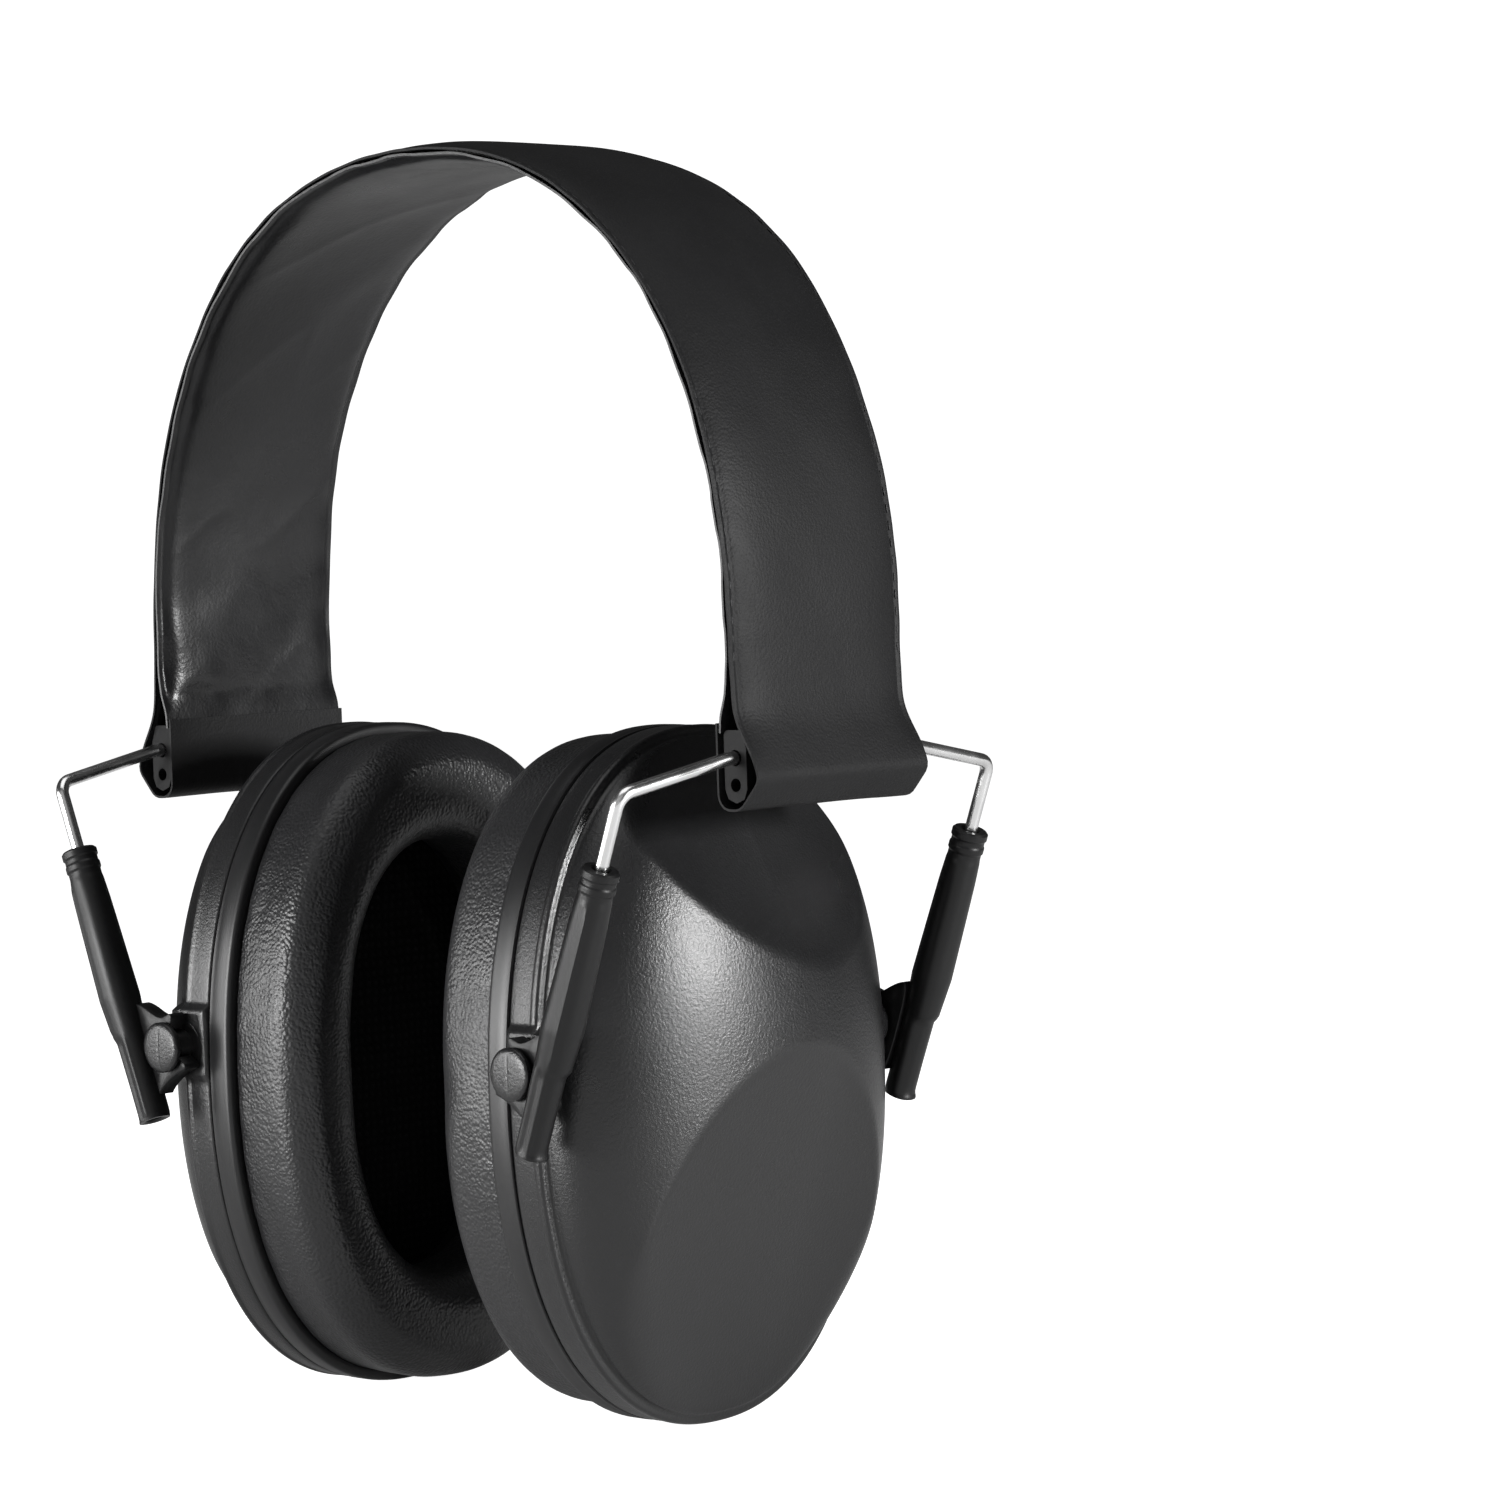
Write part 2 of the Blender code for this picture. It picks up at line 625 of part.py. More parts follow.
def build_cup(label, pivot, looks):
    cup_shell(f"{label}_cup_shell", pivot, looks["shell"])
    backplate(f"{label}_backplate", pivot, looks["backplate"])
    cushion_skin(f"{label}_cushion_skin", pivot, looks["skin"])
    cushion_foam(f"{label}_cushion_foam", pivot, looks["foam"])
    step = DOME_INSET + WALL + GAP + LIP_WALL + GAP
    height, width = CUP_HALF_HEIGHT - step, CUP_HALF_WIDTH - step
    base = BACKPLATE[1] + 0.4 * MM
    top = base + 0.7 * MM
    lining(f"{label}_cover_sheet", pivot, looks["cover"], ((height, width, base), (height, width, top)))
    stations = ((height - 2 * MM, width - 2 * MM, top + GAP), (33 * MM, 25 * MM, 3 * MM))
    lining(f"{label}_acoustic_foam", pivot, looks["acoustic"], stations)


def build_side(label, half_turns, looks):
    """All the pieces of one side, under empties that stand on the joints' axes."""
    side_frame = empty(f"{label}_side", (0, 0, 0))
    side_frame.rotation_euler = (0, 0, math.pi * half_turns)
    hinge = empty(f"{label}_fold_axis", (HINGE_X, 0, HINGE_Z), side_frame)
    end_block(f"{label}_end_block", hinge, looks["block"])
    wire_yoke(f"{label}_wire_yoke", hinge, looks["wire"])
    ends = ("rear", "front") if half_turns else ("front", "rear")
    for side, end in zip((-1, 1), ends):
        rivet(f"{label}_{end}_rivet", hinge, looks["rivet"], side)
        mouth = ALONG * ARM_MOUTH + Vector((0, side * ARM_Y, 0))
        slide = empty(f"{label}_{end}_slide_axis", mouth, hinge)
        slide_arm(f"{label}_{end}_arm", slide, looks["arm"], side)
    build_cup(label, empty(f"{label}_pivot_axis", PIVOT, hinge), looks)


def build():
    looks = {
        "sleeve": material("sleeve_leatherette", (0.024, 0.024, 0.026), 0.45),
        "spring": material("spring_steel", (0.42, 0.42, 0.43), 0.35, 1.0),
        "padding": material("padding_foam", (0.05, 0.05, 0.05), 0.95),
        "block": material("block_nylon", (0.018, 0.018, 0.019), 0.5),
        "rivet": material("rivet_steel", (0.55, 0.55, 0.56), 0.35, 1.0),
        "wire": material("wire_stainless", (0.68, 0.68, 0.69), 0.22, 1.0),
        "arm": material("arm_nylon", (0.020, 0.020, 0.022), 0.42),
        "shell": material("shell_abs", (0.048, 0.048, 0.050), 0.55),
        "backplate": material("backplate_abs", (0.016, 0.016, 0.017), 0.4),
        "skin": material("cushion_leatherette", (0.028, 0.028, 0.030), 0.5),
        "foam": material("cushion_foam", (0.06, 0.06, 0.06), 0.95),
        "cover": material("cover_cloth", (0.012, 0.012, 0.012), 0.95),
        "acoustic": material("acoustic_foam", (0.03, 0.03, 0.03), 0.98),
    }
    band = empty("headband_frame", (0, 0, HINGE_Z))
    headband_sleeve(band, looks["sleeve"])
    headband_spring(band, looks["spring"])
    headband_padding(band, looks["padding"])
    build_side("left", 0, looks)
    build_side("right", 1, looks)


clear_scene()
PARTS = new_collection("hearing_protection_earmuffs")
CUTTERS = new_collection("cutters")
build()
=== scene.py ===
"""Looks of the folding hearing protection earmuffs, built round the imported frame.

Pieces of the left side are modelled in the row frame. Those of the right side are the same shapes turned
half a turn about Z, and its cushion and cover have their own random folds. "a" is the distance outboard
of a cup's pivot axis.
"""

import json
import math

import bmesh
import bpy
import numpy as np
from mathutils import Matrix, Vector


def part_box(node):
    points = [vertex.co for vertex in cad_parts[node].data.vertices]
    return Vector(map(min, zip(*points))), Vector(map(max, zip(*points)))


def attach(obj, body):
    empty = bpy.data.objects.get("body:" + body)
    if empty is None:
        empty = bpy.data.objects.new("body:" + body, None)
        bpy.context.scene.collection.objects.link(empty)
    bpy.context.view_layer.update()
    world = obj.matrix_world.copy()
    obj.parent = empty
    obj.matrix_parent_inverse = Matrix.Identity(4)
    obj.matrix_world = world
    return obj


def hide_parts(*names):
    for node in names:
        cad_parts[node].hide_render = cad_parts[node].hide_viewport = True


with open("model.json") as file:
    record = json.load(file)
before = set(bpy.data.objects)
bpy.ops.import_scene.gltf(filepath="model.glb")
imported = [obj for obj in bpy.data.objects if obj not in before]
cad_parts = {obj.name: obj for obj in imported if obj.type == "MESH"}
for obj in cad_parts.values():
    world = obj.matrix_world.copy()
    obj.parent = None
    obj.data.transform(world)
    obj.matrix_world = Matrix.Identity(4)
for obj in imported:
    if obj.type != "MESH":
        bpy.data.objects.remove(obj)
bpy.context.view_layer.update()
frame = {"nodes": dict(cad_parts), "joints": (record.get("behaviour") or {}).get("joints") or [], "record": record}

MM = 0.001
SIDES = ("left", "right")
JOINTS = {joint["name"]: joint for joint in frame["joints"]}

# Places and directions read from the frame, on the left side.
HINGE = np.array(JOINTS["left_fold"]["pos_m"]) * (1, 0, 1)
PIVOT = np.array(JOINTS["left_cup_tilt"]["pos_m"]) * (1, 0, 1)
DOWN = np.array(JOINTS["left_front_slide"]["axis"])
INBOARD = np.array((DOWN[2], 0.0, -DOWN[0]))
SHELL_LOW, SHELL_HIGH = map(np.array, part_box("left_cup_shell"))
PLATE_LOW, PLATE_HIGH = map(np.array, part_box("left_backplate"))
SKIN_LOW, SKIN_HIGH = map(np.array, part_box("left_cushion_skin"))
COVER_LOW, COVER_HIGH = map(np.array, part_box("left_cover_sheet"))
SLEEVE_HIGH = np.array(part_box("headband_sleeve")[1])

# Ear cup.
OVAL = 2.25
CUP_HEIGHT = (SHELL_HIGH[2] - SHELL_LOW[2]) / 2
CUP_WIDTH = PLATE_HIGH[1]
CUP_Z = (SHELL_HIGH[2] + SHELL_LOW[2]) / 2
RIM_LOW = SHELL_LOW[0] - PIVOT[0]
RIM_HIGH = 0.4 * MM
DOME_TOP = 17.6 * MM
DOME_INSET = 1.6 * MM
WALL = 2.2 * MM
PAD_Y = 36.85 * MM
UPPER_SLOPE = 0.47
LOWER_SLOPE = 0.32
DOME_FOOT = 0.62 * MM
FOOT_FILLET = 2.2 * MM
JACKET_INSET = 0.25 * MM
LINING_INSET = 0.72 * MM
SWELL_CAP = 0.9 * MM
EAR = np.array((34.0, 20.0)) * MM

# Suspension, measured from the hinge axis.
WIRE_RADIUS = 1.0 * MM
ARM_Y = 40.4 * MM
BEND_Y = 19.3 * MM
ELBOW_ALONG = 4.2 * MM
WIRE_TIP_ALONG = 50.0 * MM
ARM_MOUTH = 15.4 * MM
ARM_TAIL = 60.0 * MM
WEB_STOP = 1.6
PIVOT_ALONG = float((PIVOT - HINGE) @ DOWN)
PIVOT_INBOARD = float((PIVOT - HINGE) @ INBOARD)

# Headband, heights measured from the hinge axis.
HALF_SPAN = 64.5 * MM
SPRINGING = 17.0 * MM
FLARE = 0.7 * MM
BAND_OVAL = 2.2
CROWN = SLEEVE_HIGH[2] - HINGE[2]
SLEEVE_HALF = SLEEVE_HIGH[1]
SLEEVE_DEPTH = 3.4 * MM
SHEET = 0.35 * MM
FLANGE = 1.1 * MM
EDGE_DROP = 1.3 * MM


# ---------------------------------------------------------------- node materials

class Shader:
    """A Principled material, with short calls for the nodes that feed it."""

    def __init__(self, name, colour, roughness, metallic=0.0):
        self.material = bpy.data.materials.new(name)
        self.material.use_nodes = True
        self.nodes = self.material.node_tree.nodes
        self.links = self.material.node_tree.links
        self.out = self.nodes["Principled BSDF"]
        self.out.inputs["Base Color"].default_value = (*colour, 1.0)
        self.out.inputs["Roughness"].default_value = roughness
        self.out.inputs["Metallic"].default_value = metallic
        self.colour = colour
        self.place = self.nodes.new("ShaderNodeTexCoord").outputs["Object"]
        self.normal = None

    def feed(self, socket, value):
        if isinstance(value, (int, float, tuple)):
            socket.default_value = value
        else:
            self.links.new(value, socket)

    def noise(self, scale, detail=3.0, rough=0.5, place=None):
        node = self.nodes.new("ShaderNodeTexNoise")
        node.inputs["Scale"].default_value = scale
        node.inputs["Detail"].default_value = detail
        node.inputs["Roughness"].default_value = rough
        self.feed(node.inputs["Vector"], place or self.place)
        return node.outputs["Fac"]

    def cells(self, scale, place=None):
        node = self.nodes.new("ShaderNodeTexVoronoi")
        node.feature = "SMOOTH_F1"
        node.inputs["Scale"].default_value = scale
        node.inputs["Smoothness"].default_value = 0.5
        self.feed(node.inputs["Vector"], place or self.place)
        return node.outputs["Distance"]

    def bands(self, scale, direction, distortion):
        node = self.nodes.new("ShaderNodeTexWave")
        node.bands_direction = direction
        node.inputs["Scale"].default_value = scale
        node.inputs["Distortion"].default_value = distortion
        self.feed(node.inputs["Vector"], self.place)
        return node.outputs["Fac"]

    def stretched(self, scale):
        node = self.nodes.new("ShaderNodeMapping")
        node.inputs["Scale"].default_value = scale
        self.feed(node.inputs["Vector"], self.place)
        return node.outputs["Vector"]

    def warped(self, scale, amount):
        """The place moved about by noise, so that cells aren't regular."""
        noise = self.nodes.new("ShaderNodeTexNoise")
        noise.inputs["Scale"].default_value = scale
        self.feed(noise.inputs["Vector"], self.place)
        shift = self.nodes.new("ShaderNodeVectorMath")
        shift.operation = "MULTIPLY_ADD"
        self.feed(shift.inputs[0], noise.outputs["Color"])
        self.feed(shift.inputs[1], (amount,) * 3)
        self.feed(shift.inputs[2], self.place)
        return shift.outputs["Vector"]

    def ramp(self, value, low, high, out_low=0.0, out_high=1.0):
        node = self.nodes.new("ShaderNodeMapRange")
        node.interpolation_type = "SMOOTHSTEP"
        limits = {"From Min": low, "From Max": high, "To Min": out_low, "To Max": out_high}
        for label, limit in limits.items():
            node.inputs[label].default_value = limit
        self.feed(node.inputs["Value"], value)
        return node.outputs["Result"]

    def math(self, operation, first, second):
        node = self.nodes.new("ShaderNodeMath")
        node.operation = operation
        self.feed(node.inputs[0], first)
        self.feed(node.inputs[1], second)
        return node.outputs["Value"]

    def bump(self, height, distance, strength):
        node = self.nodes.new("ShaderNodeBump")
        node.inputs["Distance"].default_value = distance
        node.inputs["Strength"].default_value = strength
        self.feed(node.inputs["Height"], height)
        if self.normal is not None:
            self.feed(node.inputs["Normal"], self.normal)
        self.normal = node.outputs["Normal"]
        self.feed(self.out.inputs["Normal"], self.normal)

    def tint(self, factor, low, high):
        """The base colour times a share that runs from low to high with the factor."""
        node = self.nodes.new("ShaderNodeMix")
        node.data_type = "RGBA"
        node.inputs[6].default_value = (*[part * low for part in self.colour], 1.0)
        node.inputs[7].default_value = (*[part * high for part in self.colour], 1.0)
        self.feed(node.inputs[0], factor)
        self.feed(self.out.inputs["Base Color"], node.outputs[2])

    def gloss(self, factor, low, high):
        self.feed(self.out.inputs["Roughness"], self.ramp(factor, 0.25, 0.75, low, high))

    def edges(self):
        """0 on flats and 1 on worn convex edges."""
        geometry = self.nodes.new("ShaderNodeNewGeometry")
        return self.ramp(geometry.outputs["Pointiness"], 0.53, 0.62)


def leather(name, colour, roughness, shine, cell, depth, crease):
    """Leatherette: rounded pebbles with creases between them, fine pores and uneven gloss."""
    shade = Shader(name, colour, roughness)
    pebbles = shade.cells(1 / cell, shade.warped(240.0, 1.2 * MM))
    pores = shade.noise(2600.0, 2.0)
    clouds = shade.noise(38.0, 4.0, 0.6)
    shade.bump(shade.noise(260.0, 3.0, 0.6), 0.25 * MM, crease)
    grain = shade.math("SUBTRACT", shade.math("MULTIPLY", pores, 0.25), pebbles)
    shade.bump(grain, depth, 0.8)
    tone = shade.math("MULTIPLY", shade.math("ADD", clouds, shade.math("MULTIPLY", pebbles, 0.5)), 0.7)
    shade.tint(tone, 0.7, 1.35)
    shade.gloss(clouds, roughness - 0.07, roughness + 0.08)
    shade.out.inputs["Specular IOR Level"].default_value = shine
    return shade.material


def moulded(name, colour, roughness, grain, depth, wear, shine=0.5):
    """Moulded plastic: fine eroded grain, faint flow marks, and edges rubbed lighter and smoother."""
    shade = Shader(name, colour, roughness)
    clouds = shade.noise(30.0, 3.0, 0.55)
    edges = shade.edges()
    shade.bump(shade.noise(70.0, 1.0), 0.05 * MM, 0.04)
    shade.bump(shade.noise(grain, 3.0, 0.65), depth, 0.9)
    tone = shade.math("ADD", shade.math("MULTIPLY", clouds, 0.5), shade.math("MULTIPLY", edges, wear))
    shade.tint(tone, 0.82, 1.5)
    rubbed = shade.math("SUBTRACT", clouds, shade.math("MULTIPLY", edges, 0.3))
    shade.gloss(rubbed, roughness - 0.06, roughness + 0.06)
    shade.out.inputs["Specular IOR Level"].default_value = shine
    return shade.material


def drawn_steel(name, colour, roughness):
    """Drawn steel: scratches along its length and a slightly clouded polish."""
    shade = Shader(name, colour, roughness, 1.0)
    clouds = shade.noise(120.0, 3.0)
    shade.bump(shade.noise(900.0, 4.0, 0.7, shade.stretched((1.0, 0.12, 0.3))), 0.01 * MM, 0.35)
    shade.tint(clouds, 0.8, 1.1)
    shade.gloss(clouds, roughness - 0.05, roughness + 0.1)
    return shade.material


def open_foam(name, colour):
    """Open-cell foam: dark pores between light webs."""
    shade = Shader(name, colour, 0.95)
    pores = shade.cells(1100.0, shade.warped(500.0, 0.8 * MM))
    shade.bump(pores, 0.4 * MM, 1.0)
    shade.tint(shade.ramp(pores, 0.1, 0.7), 0.35, 1.3)
    return shade.material


def weave(name, colour):
    """Thin plain-woven acoustic cloth, slightly fuzzy."""
    shade = Shader(name, colour, 0.9)
    woven = shade.math("MULTIPLY", shade.bands(210.0, "Y", 0.6), shade.bands(210.0, "Z", 0.6))
    shade.bump(woven, 0.2 * MM, 1.0)
    shade.tint(woven, 0.4, 1.6)
    shade.out.inputs["Specular IOR Level"].default_value = 0.1
    return shade.material


def sewing_thread(name, colour):
    shade = Shader(name, colour, 0.55)
    shade.bump(shade.noise(3000.0, 2.0), 0.05 * MM, 0.6)
    shade.tint(shade.noise(700.0), 0.6, 1.4)
    return shade.material


LOOKS = {
    "sleeve": leather("sleeve_leatherette", (0.008, 0.008, 0.0084), 0.56, 0.18, 0.42 * MM, 0.05 * MM, 0.20),
    "lining": leather("sleeve_lining", (0.008, 0.008, 0.0086), 0.31, 0.36, 0.50 * MM, 0.02 * MM, 0.25),
    "skin": leather("cushion_leatherette", (0.012, 0.012, 0.0128), 0.38, 0.50, 0.55 * MM, 0.13 * MM, 0.10),
    "shell": moulded("shell_textured_abs", (0.0095, 0.0095, 0.0100), 0.31, 2100.0, 0.08 * MM, 0.30),
    "backplate": moulded("backplate_abs", (0.007, 0.007, 0.0075), 0.36, 1200.0, 0.01 * MM, 0.5),
    "arm": moulded("arm_nylon", (0.005, 0.005, 0.0053), 0.40, 1500.0, 0.02 * MM, 0.5, 0.32),
    # The end blocks are black nylon, painted darker than the arms as painted shade that stands for the shadow
    # inside the sleeve's pockets.
    "block": moulded("block_nylon", (0.003, 0.003, 0.0032), 0.66, 1500.0, 0.02 * MM, 0.6, 0.2),
    "wire": drawn_steel("wire_stainless", (0.80, 0.80, 0.80), 0.20),
    "spring": drawn_steel("spring_steel", (0.42, 0.42, 0.43), 0.35),
    "rivet": drawn_steel("rivet_steel", (0.55, 0.55, 0.56), 0.32),
    "padding": open_foam("padding_foam", (0.05, 0.05, 0.05)),
    "cushion_foam": open_foam("ring_foam", (0.04, 0.04, 0.04)),
    "acoustic": open_foam("acoustic_open_foam", (0.02, 0.02, 0.02)),
    "cover": weave("cover_cloth", (0.004, 0.004, 0.0042)),
    "thread": sewing_thread("sewing_thread", (0.014, 0.014, 0.015)),
}


# ---------------------------------------------------------------- mesh helpers

def step(values, low, high):
    """0 below low, 1 above high and smooth between."""
    share = np.clip((np.asarray(values) - low) / (high - low), 0, 1)
    return share * share * (3 - 2 * share)


def bell(values, width):
    return np.exp(-((np.asarray(values) / width) ** 2))


def waves(along, across, seed, count, shortest, longest, slant):
    """Random folds: a sum of plane waves, with heights mostly between -1 and 1."""
    random = np.random.default_rng(seed)
    total = 0.0
    for _ in range(count):
        length = shortest * (longest / shortest) ** random.random()
        lean = random.normal(0, slant)
        phase = random.random() * 2 * math.pi
        total = total + np.sin(2 * math.pi * (along + lean * across) / length + phase)
    return np.tanh(total / math.sqrt(count))


def unit(vectors):
    return vectors / np.maximum(np.linalg.norm(vectors, axis=-1, keepdims=True), 1e-12)


def resample(path, spacing):
    """Points at even spacing along a path."""
    path = np.asarray(path)
    lengths = np.concatenate([[0], np.cumsum(np.linalg.norm(np.diff(path, axis=0), axis=1))])
    places = np.linspace(0, lengths[-1], int(lengths[-1] / spacing) + 1)
    return np.stack([np.interp(places, lengths, path[:, i]) for i in range(path.shape[1])], axis=1), places


def fillet(before, corner, after, radius, steps):
    """The arc that rounds one corner of a path."""
    back = unit(before - corner)
    ahead = unit(after - corner)
    half = math.acos(float(np.clip(back @ ahead, -1, 1))) / 2
    centre = corner + unit(back + ahead) * radius / math.sin(half)
    first = corner + back * radius / math.tan(half) - centre
    last = corner + ahead * radius / math.tan(half) - centre
    turn = math.acos(float(np.clip(unit(first) @ unit(last), -1, 1)))
    shares = np.linspace(0, 1, steps + 1)[:, None]
    return centre + (np.sin((1 - shares) * turn) * first + np.sin(shares * turn) * last) / math.sin(turn)


def rounded_path(points, radii, steps=10):
    """An open path with its inner corners rounded."""
    points = [np.asarray(point, float) for point in points]
    path = [points[:1]]
    for before, corner, after, radius in zip(points, points[1:], points[2:], radii):
        path.append(fillet(before, corner, after, radius, steps))
    path.append(points[-1:])
    return np.concatenate(path)


def turned(points, side):
    """Left-side points, or the same turned half a turn about Z for the right side."""
    return np.asarray(points) * ((1, 1, 1) if side == "left" else (-1, -1, 1))


class Parts:
    """Gathers the closed surfaces of one piece, which then become one object."""

    def __init__(self, side="left"):
        self.side = side
        self.vertices = []
        self.faces = []

    def grid(self, points, closed_rows=False):
        """A sheet over rows of points. Each row is a closed ring."""
        rows, columns = points.shape[:2]
        first = len(self.vertices)
        index = np.arange(rows * columns).reshape(rows, columns) + first
        if closed_rows:
            index = np.vstack([index, index[:1]])
        index = np.hstack([index, index[:, :1]])
        quads = np.stack([index[:-1, :-1], index[:-1, 1:], index[1:, 1:], index[1:, :-1]], axis=-1)
        self.vertices += turned(points.reshape(-1, 3), self.side).tolist()
        self.faces += quads.reshape(-1, 4).tolist()
        return index

    def tube(self, rings):
        """Rings joined in turn, capped at both ends."""
        index = self.grid(np.asarray(rings))
        self.faces.append(index[0, :-1][::-1].tolist())
        self.faces.append(index[-1, :-1].tolist())

    def make(self, name, look, sharp=None):
        mesh = bpy.data.meshes.new(name)
        mesh.from_pydata(self.vertices, [], self.faces)
        bm = bmesh.new()
        bm.from_mesh(mesh)
        bmesh.ops.recalc_face_normals(bm, faces=bm.faces)
        bmesh.ops.triangulate(bm, faces=[face for face in bm.faces if len(face.verts) > 4])
        if bm.calc_volume(signed=True) < 0:
            bmesh.ops.reverse_faces(bm, faces=bm.faces)
        bm.to_mesh(mesh)
        bm.free()
        mesh.materials.append(LOOKS[look])
        mesh.shade_smooth()
        if sharp:
            mesh.set_sharp_from_angle(angle=math.radians(sharp))
        obj = bpy.data.objects.new(name, mesh)
        bpy.context.scene.collection.objects.link(obj)
        return obj


def settle(obj, body, slot, *nodes):
    """The piece rides on its body and stands for its nodes, which it hides. The slot argument is not used."""
    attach(obj, body)
    if nodes:
        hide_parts(*nodes)


# ---------------------------------------------------------------- ear cups

def oval(height, width, angles, a):
    """Ring of points at these angles round a cup's middle, at a distance outboard."""
    y = np.cos(angles)
    z = np.sin(angles)
    reach = (np.abs(y / width) ** OVAL + np.abs(z / height) ** OVAL) ** (-1 / OVAL)
    return np.stack([np.full(len(angles), PIVOT[0] + a), y * reach, CUP_Z + z * reach], axis=-1)


def lower_of(first, second, radius):
    """The lower of two surfaces, with the crease between them rounded."""
    share = np.clip(0.5 + 0.5 * (second - first) / radius, 0, 1)
    return second + (first - second) * share - radius * share * (1 - share)


def sunk_to_flats(points):
    """The dome cut by its two leaning flats, whose creases fade out towards the rim.

    Where the upper flat's lean would lift it, the lean dies out upwards: a full lean and offset together
    reach the headband's foot when the cup is slid all the way up.
    """
    y = points[..., 1]
    z = points[..., 2] - CUP_Z
    a = points[..., 0] - PIVOT[0]
    fade_up = 0.5 * MM + 4 * MM * step(z, 32 * MM, 46 * MM)
    fade_down = 0.5 * MM + 4 * MM * step(-z, 20 * MM, 38 * MM)
    lean = 0.5 * MM - 0.14 * y
    lean = np.where(lean > 0, lean * (1 - step(z, 16 * MM, 44 * MM)), lean)
    a = lower_of(a, UPPER_SLOPE * (CUP_HEIGHT - z) + lean, fade_up)
    rear = np.maximum(y - 10 * MM, 0)
    lower_flat = LOWER_SLOPE * (CUP_HEIGHT + z) - 0.05 * y - 0.5 * MM + 6.0 * rear * rear
    a = lower_of(a, lower_flat, fade_down)
    return np.concatenate([(PIVOT[0] + a)[..., None], points[..., 1:]], axis=-1)


def dome(inset, angles, shares):
    """Rings from the foot of the dome to near its top, moved in by the inset."""
    rings = []
    for share in shares:
        turn = math.pi / 2 * share
        size = math.cos(turn)
        a = RIM_HIGH + (DOME_TOP - inset - RIM_HIGH) * math.sin(turn)
        height, width = CUP_HEIGHT - DOME_INSET - inset, CUP_WIDTH - DOME_INSET - inset
        rings.append(oval(height * size, width * size, angles, a))
    shift = np.array((inset, 0, 0))
    return sunk_to_flats(np.array(rings) + shift) - shift


def rim_profile():
    """(distance outboard, inset) in millimetres up the rim: its low groove, its face and its beaded edge."""
    low = RIM_LOW / MM
    return (
        (low, 3.8), (low, 0.5), (low + 0.1, 0.25), (low + 0.4, 0.14), (low + 1.5, 0.10), (low + 3.0, 0.12),
        (-1.25, 0.20), (-1.0, 0.18), (-0.75, 0.02), (-0.35, 0.0), (0.0, 0.06), (0.25, 0.25), (0.36, 0.55),
        (0.40, 0.95), (0.44, 1.25), (0.62, 1.5),
    )


def with_pads(points):
    """Flattens both sides of the moulding at the pivots, where the rim's face gives way to a raised pad."""
    y = points[..., 1]
    z = points[..., 2] - PIVOT[2]
    a = points[..., 0] - PIVOT[0]
    share = (1 - step(np.abs(z - 0.4 * MM), 4.9 * MM, 6.1 * MM)) * (1 - step(a, 2.2 * MM, 3.4 * MM))
    share = share * (np.abs(y) > 0.6 * CUP_WIDTH) * step(a, RIM_LOW - 0.05 * MM, RIM_LOW + 0.2 * MM)
    y = y + share * (np.sign(y) * PAD_Y - y)
    return np.stack([points[..., 0], y, points[..., 2]], axis=-1)


def pivot_button(end):
    """Turned boss and chamfered head, with the parting line of its mould across the face."""
    profile = (
        (34.0, 4.3), (36.6, 4.3), (36.82, 4.1), (36.9, 3.7), (36.9, 2.4), (40.45, 2.4), (40.5, 3.6),
        (40.6, 3.85), (40.75, 3.9), (41.3, 3.9), (41.45, 3.8), (41.62, 3.5), (41.70, 3.2), (41.72, 2.7),
        (41.72, 2.1), (41.72, 1.5), (41.72, 0.9), (41.72, 0.3),
    )
    turns = np.linspace(0, 2 * math.pi, 72, endpoint=False)
    rings = []
    for level, radius in profile:
        x, z = radius * np.cos(turns), radius * np.sin(turns)
        on_face = level > 41.71
        y = level + on_face * (0.15 * (1 - (radius / 3.5) ** 2) - 0.08 * bell(x, 0.16))
        rings.append(np.stack([PIVOT[0] + x * MM, end * y * MM, PIVOT[2] + z * MM], axis=-1))
    return rings


def cup_shell(side):
    angles = np.linspace(0, 2 * math.pi, 440, endpoint=False)
    rim = [
        oval(CUP_HEIGHT - inset * MM, CUP_WIDTH - inset * MM, angles, a * MM)
        for a, inset in rim_profile()
    ]
    outside = dome(0.0, angles, np.linspace(0.014, 0.985, 120))
    foot = PIVOT[0] + DOME_FOOT
    outside[..., 0] = -lower_of(-outside[..., 0], -foot, FOOT_FILLET)
    outside = with_pads(np.concatenate([rim, outside]))
    inside = dome(WALL, angles, (0.94, 0.75, 0.55, 0.35, 0.18, 0.05, 0.0))
    parts = Parts(side)
    parts.tube(np.concatenate([inside, outside]))
    for end in (-1, 1):
        parts.tube(pivot_button(end))
    settle(parts.make(f"{side}_shell_moulding", "shell", 50), f"{side}_cup", "shell", f"{side}_cup_shell")


